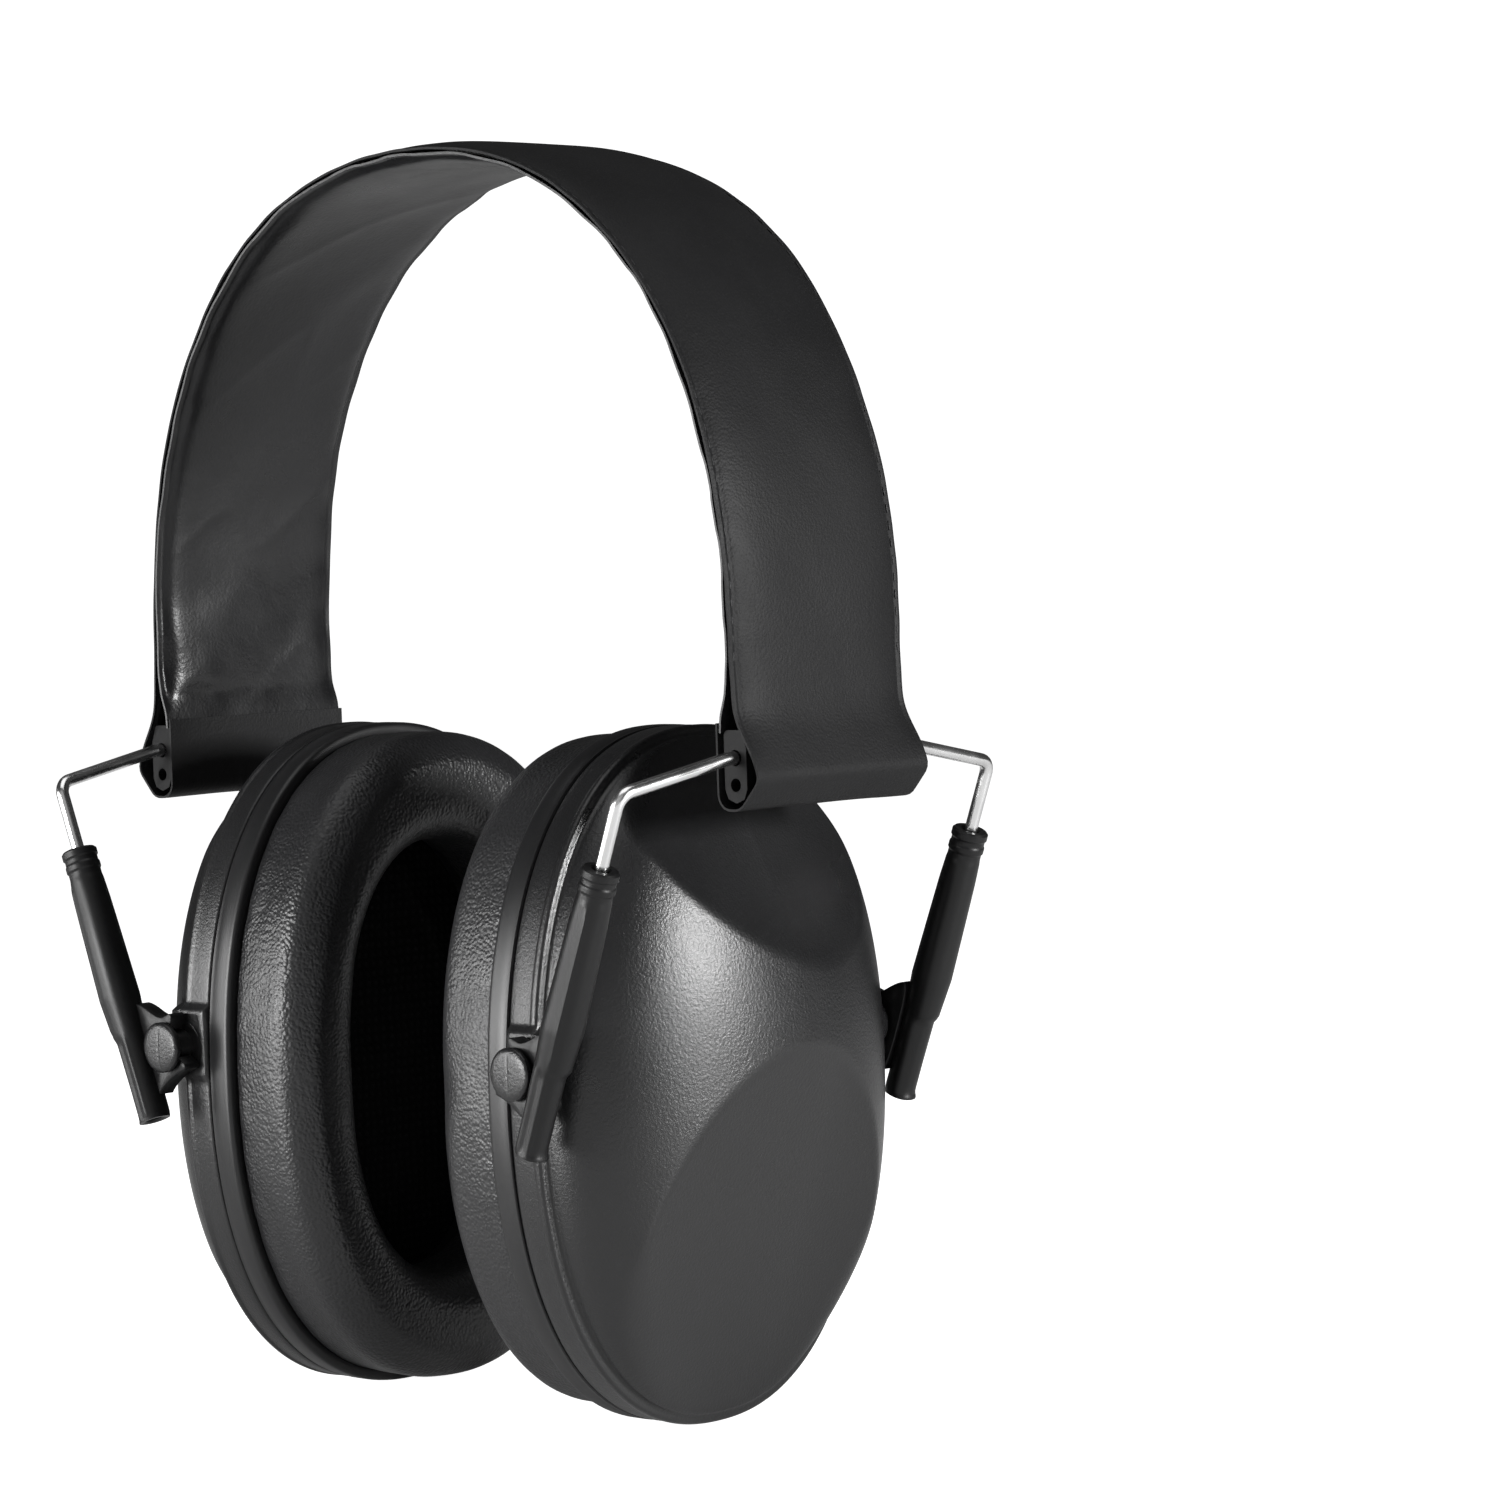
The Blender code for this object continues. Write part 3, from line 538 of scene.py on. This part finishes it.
def backplate(side):
    """Ring plate with a rounded outer edge, a shallow groove under the cushion and a locating lip."""
    low = (PLATE_LOW[0] - PIVOT[0]) / MM
    high = (PLATE_HIGH[0] - PIVOT[0]) / MM - 2.4
    opening = (36.0 * MM, 22.0 * MM)
    profile = (
        (3.6, low), (3.3, low + 0.25), (2.9, low + 0.25), (2.6, low), (1.1, low), (0.6, low + 0.06),
        (0.28, low + 0.25), (0.10, low + 0.55), (0.05, low + 1.0), (0.05, high - 1.1), (0.12, high - 0.9),
        (0.12, high - 0.2), (0.4, high), (4.1, high), (4.2, high + 2.3), (4.3, high + 2.4), (5.5, high + 2.4),
        (5.6, high + 2.3), (5.7, high),
    )
    angles = np.linspace(0, 2 * math.pi, 256, endpoint=False)
    rings = [oval(CUP_HEIGHT - inset * MM, CUP_WIDTH - inset * MM, angles, a * MM) for inset, a in profile]
    for a, spread in ((high, 0.3), (high - 0.3, 0.0), (low + 0.3, 0.0), (low, 0.3)):
        rings.append(oval(opening[0] + spread * MM, opening[1] + spread * MM, angles, a * MM))
    parts = Parts(side)
    parts.grid(np.array(rings), closed_rows=True)
    obj = parts.make(f"{side}_backplate_ring", "backplate", 40)
    settle(obj, f"{side}_cup", "backplate", f"{side}_backplate")


def cushion_section(inset, steps):
    """Half height, half width and a, from the outer seam over the face into the ear opening."""
    foot = SKIN_HIGH[0] - PIVOT[0]
    face = SKIN_LOW[0] - PIVOT[0] + inset
    outer = np.array((CUP_HEIGHT, CUP_WIDTH)) - 1.5 * MM - inset
    ear = EAR + inset
    round_out = 6.8 * MM - inset
    section = []
    for share in np.linspace(0, 1, steps, endpoint=False):
        section.append((*outer, foot + share * (face + round_out - foot)))
    for turn in np.linspace(0, math.pi / 2, steps, endpoint=False):
        back = round_out * (1 - math.cos(turn))
        section.append((*(outer - back), face + round_out * (1 - math.sin(turn))))
    for turn in np.linspace(0, math.pi / 2, steps, endpoint=False):
        back = round_out * (1 - math.sin(turn))
        section.append((*(ear + back), face + round_out * (1 - math.cos(turn))))
    for share in np.linspace(0, 1, steps):
        section.append((*ear, face + round_out + share * (foot - face - round_out)))
    return section


def swollen(rings, sewn_rows, cap):
    """The rings as a closed cloth under pressure, its sewn rows held and its movement capped."""
    parts = Parts()
    parts.grid(rings, closed_rows=True)
    obj = parts.make("cloth_under_pressure", "skin")
    columns = rings.shape[1]
    sewn = obj.vertex_groups.new(name="sewn")
    for row in sewn_rows:
        sewn.add(list(range(row * columns, (row + 1) * columns)), 1.0, "REPLACE")
    cloth = obj.modifiers.new("cloth", "CLOTH")
    settings = cloth.settings
    settings.quality = 6
    settings.mass = 0.15
    settings.tension_stiffness = 20
    settings.compression_stiffness = 6
    settings.shear_stiffness = 5
    settings.bending_stiffness = 0.05
    settings.use_pressure = True
    settings.uniform_pressure_force = 4.0
    settings.effector_weights.gravity = 0.0
    settings.shrink_min = -0.006
    settings.vertex_group_mass = "sewn"
    scene = bpy.context.scene
    for number in range(1, 21):
        scene.frame_set(number)
    graph = bpy.context.evaluated_depsgraph_get()
    mesh = obj.evaluated_get(graph).to_mesh()
    moved = np.array([vertex.co for vertex in mesh.vertices]).reshape(rings.shape)
    bpy.data.objects.remove(obj)
    scene.frame_set(1)
    shift = np.nan_to_num(moved - rings)
    for _ in range(14):
        shift = (2 * shift + np.roll(shift, 1, axis=1) + np.roll(shift, -1, axis=1)) / 4
    length = np.linalg.norm(shift, axis=-1, keepdims=True)
    return rings + shift * cap * np.tanh(length / cap) / np.maximum(length, 1e-9)


def cushion_jacket(side, seed):
    """Leatherette jacket: gathered at both seams, with wrinkles that die out on its face."""
    angles = np.linspace(0, 2 * math.pi, 260, endpoint=False)
    section = cushion_section(JACKET_INSET, 10)
    rings = np.array([oval(*pair, angles, a) for *pair, a in section])
    middle = rings[len(rings) // 2]
    around = np.cumsum(np.linalg.norm(np.diff(middle, axis=0, append=middle[:1]), axis=1))[None, :]
    level = np.linspace(0, 1, len(rings))[:, None]
    outward = unit((rings - rings.mean(axis=1, keepdims=True)) * (0, 1, 1))
    seams = bell(level, 0.13) + 0.8 * bell(1 - level, 0.16)
    gathers = waves(around, level * 6 * MM, seed, 14, 3.0 * MM, 9 * MM, 0.8)
    folds = waves(around, level * 40 * MM, seed + 1, 9, 14 * MM, 60 * MM, 1.2)
    channel = bell(level - 0.42, 0.05) - 0.5 * bell(level - 0.33, 0.05)
    height = gathers * seams * 0.05 * MM + folds * level * (1 - level) * 0.3 * MM - channel * 0.35 * MM
    back = np.array([rings[-1], rings[0]])
    whole = np.concatenate([rings + outward * height[..., None], back])
    whole[-2:, :, 0] += 0.2 * MM
    last = len(whole) - 1
    rings = swollen(whole, (0, last - 2, last - 1, last), SWELL_CAP)[:-2]
    rings[..., 0] = np.clip(rings[..., 0], SKIN_LOW[0] - 0.3 * MM, SKIN_HIGH[0])
    inside = cushion_section(LINING_INSET, 9)
    lining = np.array([oval(*pair, angles, a) for *pair, a in inside])
    parts = Parts(side)
    parts.grid(np.concatenate([rings, lining[::-1]]), closed_rows=True)
    obj = parts.make(f"{side}_cushion_jacket", "skin", 80)
    settle(obj, f"{side}_cup", "skin", f"{side}_cushion_skin")


def cover_cloth(side, seed):
    """Cloth over the acoustic foam: slack, so it dips and puckers a little inside its rim."""
    angles = np.linspace(0, 2 * math.pi, 160, endpoint=False)
    edge = np.array((COVER_HIGH[2] - COVER_LOW[2], COVER_HIGH[1] - COVER_LOW[1])) / 2
    low = COVER_LOW[0] - PIVOT[0]
    rings = []
    for size in np.linspace(0.03, 1.0, 46):
        ring = oval(*(edge * size), angles, low)
        folds = waves(ring[:, 1], ring[:, 2], seed, 8, 9 * MM, 40 * MM, 1.0)
        rings.append(ring - np.array((1, 0, 0)) * (folds * 0.5 * MM * (1 - size**6))[:, None])
    rings = np.array(rings)
    backs = rings[::-1] + (0.3 * MM, 0, 0)
    parts = Parts(side)
    parts.tube(np.concatenate([rings, backs]))
    settle(parts.make(f"{side}_cover_cloth", "cover", 60), f"{side}_cup", "cover", f"{side}_cover_sheet")


# ---------------------------------------------------------------- suspension

def wire_yoke(side):
    """One bent stainless wire: leg, elbow, through the end block, elbow, leg."""
    corners = []
    for end in (-1, 1):
        across = np.array((0, end, 0))
        tip = HINGE + DOWN * WIRE_TIP_ALONG + across * ARM_Y
        elbow = HINGE + DOWN * ELBOW_ALONG + across * ARM_Y
        corners += [tip, elbow, HINGE + across * BEND_Y][::-end]
    path = rounded_path(corners, (2.5 * MM, 3.0 * MM, 3.0 * MM, 2.5 * MM), 14)
    path, _ = resample(path, 0.5 * MM)
    square = np.cross(unit(np.gradient(path, axis=0)), INBOARD)
    turns = np.linspace(0, 2 * math.pi, 24, endpoint=False)
    rings = path[:, None] + WIRE_RADIUS * (
        np.cos(turns)[None, :, None] * square[:, None] + np.sin(turns)[None, :, None] * INBOARD
    )
    parts = Parts(side)
    parts.tube(rings)
    settle(parts.make(f"{side}_bent_wire", "wire", 60), f"{side}_yoke", "wire", f"{side}_wire_yoke")


def arm_point(along, outboard, y):
    """Points of an arm: down its wire from the hinge, outboard of the wire, and in Y."""
    along, outboard, y = np.broadcast_arrays(along, outboard, y)
    in_plane = HINGE + along[..., None] * DOWN - outboard[..., None] * INBOARD
    return in_plane + y[..., None] * np.array((0, 1, 0))


def arm_radius(along):
    """Half size across the arm, at distances in millimetres from its mouth."""
    profile = (
        (0, 2.6), (0.3, 2.9), (1.2, 2.9), (1.45, 2.68), (2.2, 2.68), (2.45, 2.85), (3.3, 2.85), (3.6, 2.65),
        (4.4, 2.65), (5.2, 2.75), (14.3, 2.95), (24.5, 3.15), (30.3, 2.75), (39.2, 2.6), (43.6, 2.6),
        (44.6, 2.45),
    )
    places, sizes = zip(*profile)
    return np.interp(along, places, sizes)


def softened(outline, rounds):
    """A closed outline with its corners cut, over and over."""
    for _ in range(rounds):
        following = np.roll(outline, -1, axis=0)
        pair = np.stack([0.75 * outline + 0.25 * following, 0.25 * outline + 0.75 * following], axis=1)
        outline = pair.reshape(-1, 2)
    return outline


def clip_outline():
    """Outline (down the arm, outboard) in millimetres about the pivot, of the open clip and its web.

    The web ends inside the arm's wall, short of the wire's bore.
    """
    mouth = math.radians(50)
    seat = np.linspace(mouth, 2 * math.pi - mouth, 28)
    points = [(2.7 * math.sin(turn), -2.7 * math.cos(turn)) for turn in seat]
    lobes = ((-1.02, 4.2), (-1.05, 5.0), (-1.18, 5.35), (-1.35, 4.9), (-1.8, 4.6))
    lips = [(reach * math.sin(turn * mouth), -reach * math.cos(turn * mouth)) for turn, reach in lobes]
    points += lips
    web = PIVOT_INBOARD / MM - WEB_STOP
    points += [(-8.2, 3.4), (-8.8, web), (6.8, web), (5.6, 3.6)]
    points += [(-along, outboard) for along, outboard in lips[::-1]]
    return softened(np.array(points), 3)


def slide_arm(side, name, end):
    """Moulded arm: ringed mouth, ribbed tube with a channelled tail, and the clip on the cup's boss."""
    length = (ARM_TAIL - ARM_MOUTH) / MM
    collar = np.linspace(0, 5.4, 37)
    along = np.concatenate([collar, np.arange(5.9, length - 1, 0.6), np.linspace(length - 0.8, length, 6)])
    turns = np.linspace(0, 2 * math.pi, 72, endpoint=False)
    radius = arm_radius(along)[:, None]
    facing = np.angle(np.exp(1j * (turns - end * math.pi / 2)))[None, :] * -end
    body = (step(along, 5.0, 6.5) * (1 - step(along, 29.5, 30.5)))[:, None]
    tail = step(along, 30.5, 32.0)[:, None] * (1 - step(along, length - 1.2, length))[:, None]
    radius = radius + 0.20 * body * bell(facing - 0.5, 0.10)
    radius = radius + tail * (0.15 * bell(facing - 0.42, 0.12) + 0.15 * bell(facing + 0.42, 0.12))
    radius = radius - tail * 0.35 * bell(facing, 0.24)
    radius = radius * (1 - 0.2 * tail * step(np.cos(turns), 0.0, 0.8)[None, :])
    squarish = (np.abs(np.cos(turns)) ** 2.5 + np.abs(np.sin(turns)) ** 2.5) ** (-1 / 2.5)
    radius = radius * (1 + (squarish[None, :] - 1) * 0.5 * step(along, 4.5, 9.0)[:, None]) * 0.97
    place = ARM_MOUTH + along[:, None] * MM
    outer = arm_point(place, radius * np.cos(turns) * MM, end * ARM_Y + radius * np.sin(turns) * MM)
    bore = np.array((length, length - 0.3, 0.3, 0.0))[:, None]
    size = np.array((1.9, 1.3, 1.3, 1.6))[:, None]
    across, outward = size * np.cos(turns) * MM, size * np.sin(turns) * MM
    inner = arm_point(ARM_MOUTH + bore * MM, across, end * ARM_Y + outward)
    parts = Parts(side)
    parts.grid(np.concatenate([outer, inner]), closed_rows=True)
    outline = clip_outline() * MM
    tangent = unit(np.roll(outline, -1, axis=0) - np.roll(outline, 1, axis=0))
    inwards = np.stack([tangent[:, 1], -tangent[:, 0]], axis=1)
    if np.sum(outline[:, 0] * np.roll(outline[:, 1], -1) - outline[:, 1] * np.roll(outline[:, 0], -1)) > 0:
        inwards = -inwards
    # A larger inset makes the outline cross itself, and the caps would then close the seat.
    levels = ((37.3, 0.12), (37.34, 0.05), (37.42, 0.0), (40.08, 0.0), (40.16, 0.05), (40.2, 0.12))
    plates = []
    for y, inset in levels:
        flat = outline + inwards * inset * MM
        plates.append(arm_point(PIVOT_ALONG + flat[:, 0], flat[:, 1] - PIVOT_INBOARD, end * y * MM))
    parts.tube(plates)
    settle(parts.make(f"{name}_moulding", "arm", 40), name, "arm", name)


# ---------------------------------------------------------------- headband

def leg_x(z):
    return HALF_SPAN + FLARE * (1 - np.minimum(z, SPRINGING) / SPRINGING) ** 2


def arch(foot):
    """Points (x, z) of the band's outer surface, from this height up the left leg to the crown."""
    leg = np.linspace(foot, SPRINGING, 12, endpoint=False)
    turns = np.linspace(0, math.pi / 2, 200)
    x = np.clip(np.cos(turns), 0, 1) ** (2 / BAND_OVAL) * HALF_SPAN
    z = np.sin(turns) ** (2 / BAND_OVAL) * (CROWN - SPRINGING) + SPRINGING
    return np.concatenate([np.stack([leg_x(leg), leg], axis=1), np.stack([x, z], axis=1)])


def whole_band(half):
    """Even points of a half path and its mirror image, their inward normals and places along the path."""
    path, places = resample(np.concatenate([half, (half * (-1, 1))[-2::-1]]), 0.8 * MM)
    along = unit(np.gradient(path, axis=0))
    return path, np.stack([-along[:, 1], along[:, 0]], axis=1), places


def band_sheet(name, look, path, inwards, depth, thickness):
    """A sheet over the band: depth below the path for each station and each y."""
    y = sheet_columns()
    rows = []
    for level, columns in ((depth, slice(None)), (depth + thickness, slice(None, None, -1))):
        x = path[:, None, 0] + inwards[:, None, 0] * level
        z = path[:, None, 1] + inwards[:, None, 1] * level
        share = np.linspace(0, 1, len(path))[:, None]
        between_feet = 1 - step(np.abs(share - 0.5), 0.38, 0.44)
        uneven = 1 + 0.014 * waves(share, 0.0, 5, 7, 0.09, 0.3, 0.0) * between_feet
        row = np.stack([x, y[None, :] * uneven, z + HINGE[2]], axis=-1)
        rows.append(row[:, columns])
    parts = Parts()
    parts.tube(np.concatenate(rows, axis=1))
    obj = parts.make(name, look, 60)
    settle(obj, "headband", "sleeve")
    return obj


def sheet_columns():
    """Places in Y across the band, closer together at its sewn edges."""
    return SLEEVE_HALF * np.sin(np.linspace(-math.pi / 2, math.pi / 2, 61))


def outer_sheet():
    """Sleeve's outer sheet: from its seam inside the left foot, under the block, over the crown."""
    hinge = HINGE[0] / MM
    corners = ((-3.1, 5.0), (-3.1, -7.7), (1.4, -7.7), (5.3, -3.2), (1.75, 6.4))
    corners = [(hinge + x, z) for x, z in corners] + [tuple(arch(16 * MM)[0] / MM)]
    foot = rounded_path(corners, (2.4, 2.6, 2.2, 22.0)) * MM
    path, inwards, places = whole_band(np.concatenate([foot[:-1], arch(16 * MM)]))
    y = sheet_columns()[None, :]
    from_end = np.minimum(places, places[-1] - places)[:, None]
    sewn = step(from_end, 24 * MM, 33 * MM)
    reach = np.abs(y) / (SLEEVE_HALF - FLANGE)
    crown = EDGE_DROP * np.minimum(reach, 1) ** 5
    needle_line = 0.10 * MM * bell(np.abs(y) - (SLEEVE_HALF - FLANGE), 0.35 * MM)
    bead = 0.15 * MM * bell(np.abs(y) - (SLEEVE_HALF - 0.45 * MM), 0.3 * MM)
    depth = sewn * (crown + needle_line - bead)
    puckers = waves(places[:, None], np.abs(y), 11, 12, 7 * MM, 22 * MM, 0.3)
    folds = waves(places[:, None], y, 12, 9, 18 * MM, 60 * MM, 0.8)
    inner = np.clip(1 - reach**4, 0, 1)
    depth = depth + sewn * puckers * 0.06 * MM * np.clip(reach, 0, 1) ** 4 + inner * 0.08 * MM * (1 + folds)
    obj = band_sheet("sleeve_outer_sheet", "sleeve", path, inwards, depth, SHEET)
    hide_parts("headband_sleeve")
    stitches("sleeve_edge_stitches", path, inwards, places, EDGE_DROP - 0.05 * MM)


def lining_sheet():
    """Sleeve's lining: soft folds across the band, flat at the two sewn edges."""
    inner = arch(9 * MM)
    foot = np.array(((HINGE[0] - 2.45 * MM, 3.6 * MM), (HINGE[0] - 2.3 * MM, 5.6 * MM)))
    along = unit(np.gradient(inner, axis=0))
    inner = inner + np.stack([-along[:, 1], along[:, 0]], axis=1) * SLEEVE_DEPTH
    inner[-1, 0] = 0.0
    path, inwards, places = whole_band(np.concatenate([foot, inner]))
    y = sheet_columns()[None, :]
    from_end = np.minimum(places, places[-1] - places)[:, None]
    sewn = step(from_end, 2 * MM, 9 * MM)
    reach = np.abs(y) / (SLEEVE_HALF - FLANGE)
    lift = (SLEEVE_DEPTH - EDGE_DROP - 2 * SHEET - 0.25 * MM) * np.minimum(reach, 1) ** 14
    folds = waves(places[:, None], y, 21, 10, 20 * MM, 60 * MM, 0.7)
    fine = waves(places[:, None], y, 22, 12, 7 * MM, 16 * MM, 0.6)
    slack = np.clip(1 - reach**6, 0, 1) * step(from_end, 0, 8 * MM)
    creases = 1 - np.sqrt(np.abs(waves(places[:, None], y, 23, 5, 34 * MM, 80 * MM, 1.1)))
    scallops = sewn * 0.14 * (1 + fine) * np.clip(reach, 0, 1) ** 8
    bulge = (slack * (0.20 * (1 + folds) + 0.30 * creases + 0.03 * fine) + scallops) * MM
    band_sheet("sleeve_lining_sheet", "lining", path, inwards, bulge - sewn * lift - SHEET, SHEET)


def stitches(name, path, inwards, places, depth):
    """A row of short stitches along both sewn edges."""
    start = 40 * MM
    parts = Parts()
    turns = np.linspace(0, 2 * math.pi, 8, endpoint=False)
    for place in np.arange(start, places[-1] - start, 2.6 * MM):
        x, z = [np.interp(place, places, path[:, i]) for i in (0, 1)]
        u, w = [np.interp(place, places, inwards[:, i]) for i in (0, 1)]
        along = np.array((w, 0, -u))
        inward = np.array((u, 0, w))
        for end in (-1, 1):
            centre = np.array((x, end * (SLEEVE_HALF - 0.62 * FLANGE), z + HINGE[2])) + inward * depth
            rings = []
            for share in np.linspace(-0.96, 0.96, 7):
                size = math.sqrt(1 - share * share)
                ring = centre + along * share * 0.75 * MM
                ring = ring + 0.11 * MM * size * np.cos(turns)[:, None] * np.array((0, 1, 0))
                rings.append(ring + 0.09 * MM * size * np.sin(turns)[:, None] * inward)
            parts.tube(rings)
    settle(parts.make(name, "thread"), "headband", "sleeve")


# ---------------------------------------------------------------- pieces kept from the frame

def finish_kept_nodes():
    """Gives the frame's own nodes that stay in the scene their finished materials."""
    looks = {row["node"]: row["material_slot"] for row in frame["record"]["subparts"]}
    for name, node in frame["nodes"].items():
        if node.hide_render:
            continue
        node.data.materials.clear()
        node.data.materials.append(LOOKS[looks[name]])


# ---------------------------------------------------------------- studio

def area_light(name, direction, distance, size, power):
    light = bpy.data.lights.new(name, "AREA")
    light.energy = power
    light.size = size
    obj = bpy.data.objects.new(name, light)
    aim = Vector((0, 0, 0.09))
    obj.location = aim + Vector(direction).normalized() * distance
    obj.rotation_euler = (aim - obj.location).to_track_quat("-Z", "Y").to_euler()
    bpy.context.scene.collection.objects.link(obj)


def floor():
    mesh = bpy.data.meshes.new("floor")
    bm = bmesh.new()
    bmesh.ops.create_circle(bm, cap_ends=True, segments=96, radius=4.0)
    bm.to_mesh(mesh)
    bm.free()
    obj = bpy.data.objects.new("floor", mesh)
    obj.location = (0, 0, -0.3 * MM)
    shade = Shader("pale_floor", (0.93, 0.93, 0.93), 0.6)
    shade.tint(shade.noise(2.0, 2.0), 0.99, 1.01)
    seen = shade.nodes.new("ShaderNodeLightPath").outputs["Is Camera Ray"]
    shade.out.inputs["Emission Color"].default_value = (1, 1, 1, 1)
    shade.feed(shade.out.inputs["Emission Strength"], shade.ramp(seen, 0.0, 1.0, 0.06, 0.98))
    mesh.materials.append(shade.material)
    bpy.context.scene.collection.objects.link(obj)


def surroundings():
    """Even soft light, seen by the camera as plain white."""
    world = bpy.data.worlds.new("studio")
    world.use_nodes = True
    bpy.context.scene.world = world
    nodes = world.node_tree.nodes
    links = world.node_tree.links
    light = nodes["Background"]
    light.inputs["Color"].default_value = (1, 1, 1, 1)
    light.inputs["Strength"].default_value = 0.05
    seen = nodes.new("ShaderNodeBackground")
    seen.inputs["Color"].default_value = (1, 1, 1, 1)
    seen.inputs["Strength"].default_value = 1.15
    path = nodes.new("ShaderNodeLightPath")
    mix = nodes.new("ShaderNodeMixShader")
    links.new(path.outputs["Is Camera Ray"], mix.inputs[0])
    links.new(light.outputs[0], mix.inputs[1])
    links.new(seen.outputs[0], mix.inputs[2])
    links.new(mix.outputs[0], nodes["World Output"].inputs["Surface"])


def camera():
    """A long lens a little above the horizon, an eighth of a turn round from straight ahead."""
    azimuth, elevation, roll = math.radians(46.1), math.radians(3.1), math.radians(-2.04)
    back = Vector((math.sin(azimuth), -math.cos(azimuth), math.tan(elevation))).normalized()
    right = Vector((math.cos(azimuth), math.sin(azimuth), 0))
    up = back.cross(right)
    across = right * math.cos(roll) + up * math.sin(roll)
    upright = up * math.cos(roll) - right * math.sin(roll)
    data = bpy.data.cameras.new("camera")
    data.lens = 115.4
    data.sensor_width = 36.0
    data.clip_start = 0.01
    data.clip_end = 50.0
    obj = bpy.data.objects.new("camera", data)
    # The object stands left of the middle of the picture, so the lens points to its right.
    away = (back - 0.0582 * across - 0.0081 * upright).normalized()
    level = upright.cross(away).normalized()
    turn = Matrix((level, away.cross(level), away)).transposed().to_4x4()
    place = back * 746 * MM + Vector((0, 0, HINGE[2] - 6.2 * MM)) - right * 7.3 * MM
    obj.matrix_world = Matrix.Translation(place) @ turn
    bpy.context.scene.collection.objects.link(obj)
    bpy.context.scene.camera = obj


def studio():
    floor()
    surroundings()
    area_light("right_softbox", (0.96, 0.27, 0.17), 1.1, 0.22, 14.0)
    area_light("left_softbox", (-0.72, -0.69, 0.02), 1.1, 0.4, 4.5)
    area_light("front_left_softbox", (-0.28, -0.96, 0.03), 1.1, 0.45, 14.0)
    area_light("top_softbox", (0.1, -0.15, 1.0), 1.2, 1.1, 5.0)
    area_light("front_softbox", (0.5, -0.85, 0.35), 1.3, 1.2, 1.5)
    camera()
    bpy.context.scene.view_settings.view_transform = "Standard"


# ---------------------------------------------------------------- assembly

def build():
    for number, side in enumerate(SIDES):
        seed = 100 * (number + 1)
        cup_shell(side)
        backplate(side)
        cushion_jacket(side, seed)
        cover_cloth(side, seed + 10)
        wire_yoke(side)
        ends = ("front", "rear") if side == "left" else ("rear", "front")
        for end, label in zip((-1, 1), ends):
            slide_arm(side, f"{side}_{label}_arm", end)
    outer_sheet()
    lining_sheet()
    finish_kept_nodes()


build()
studio()
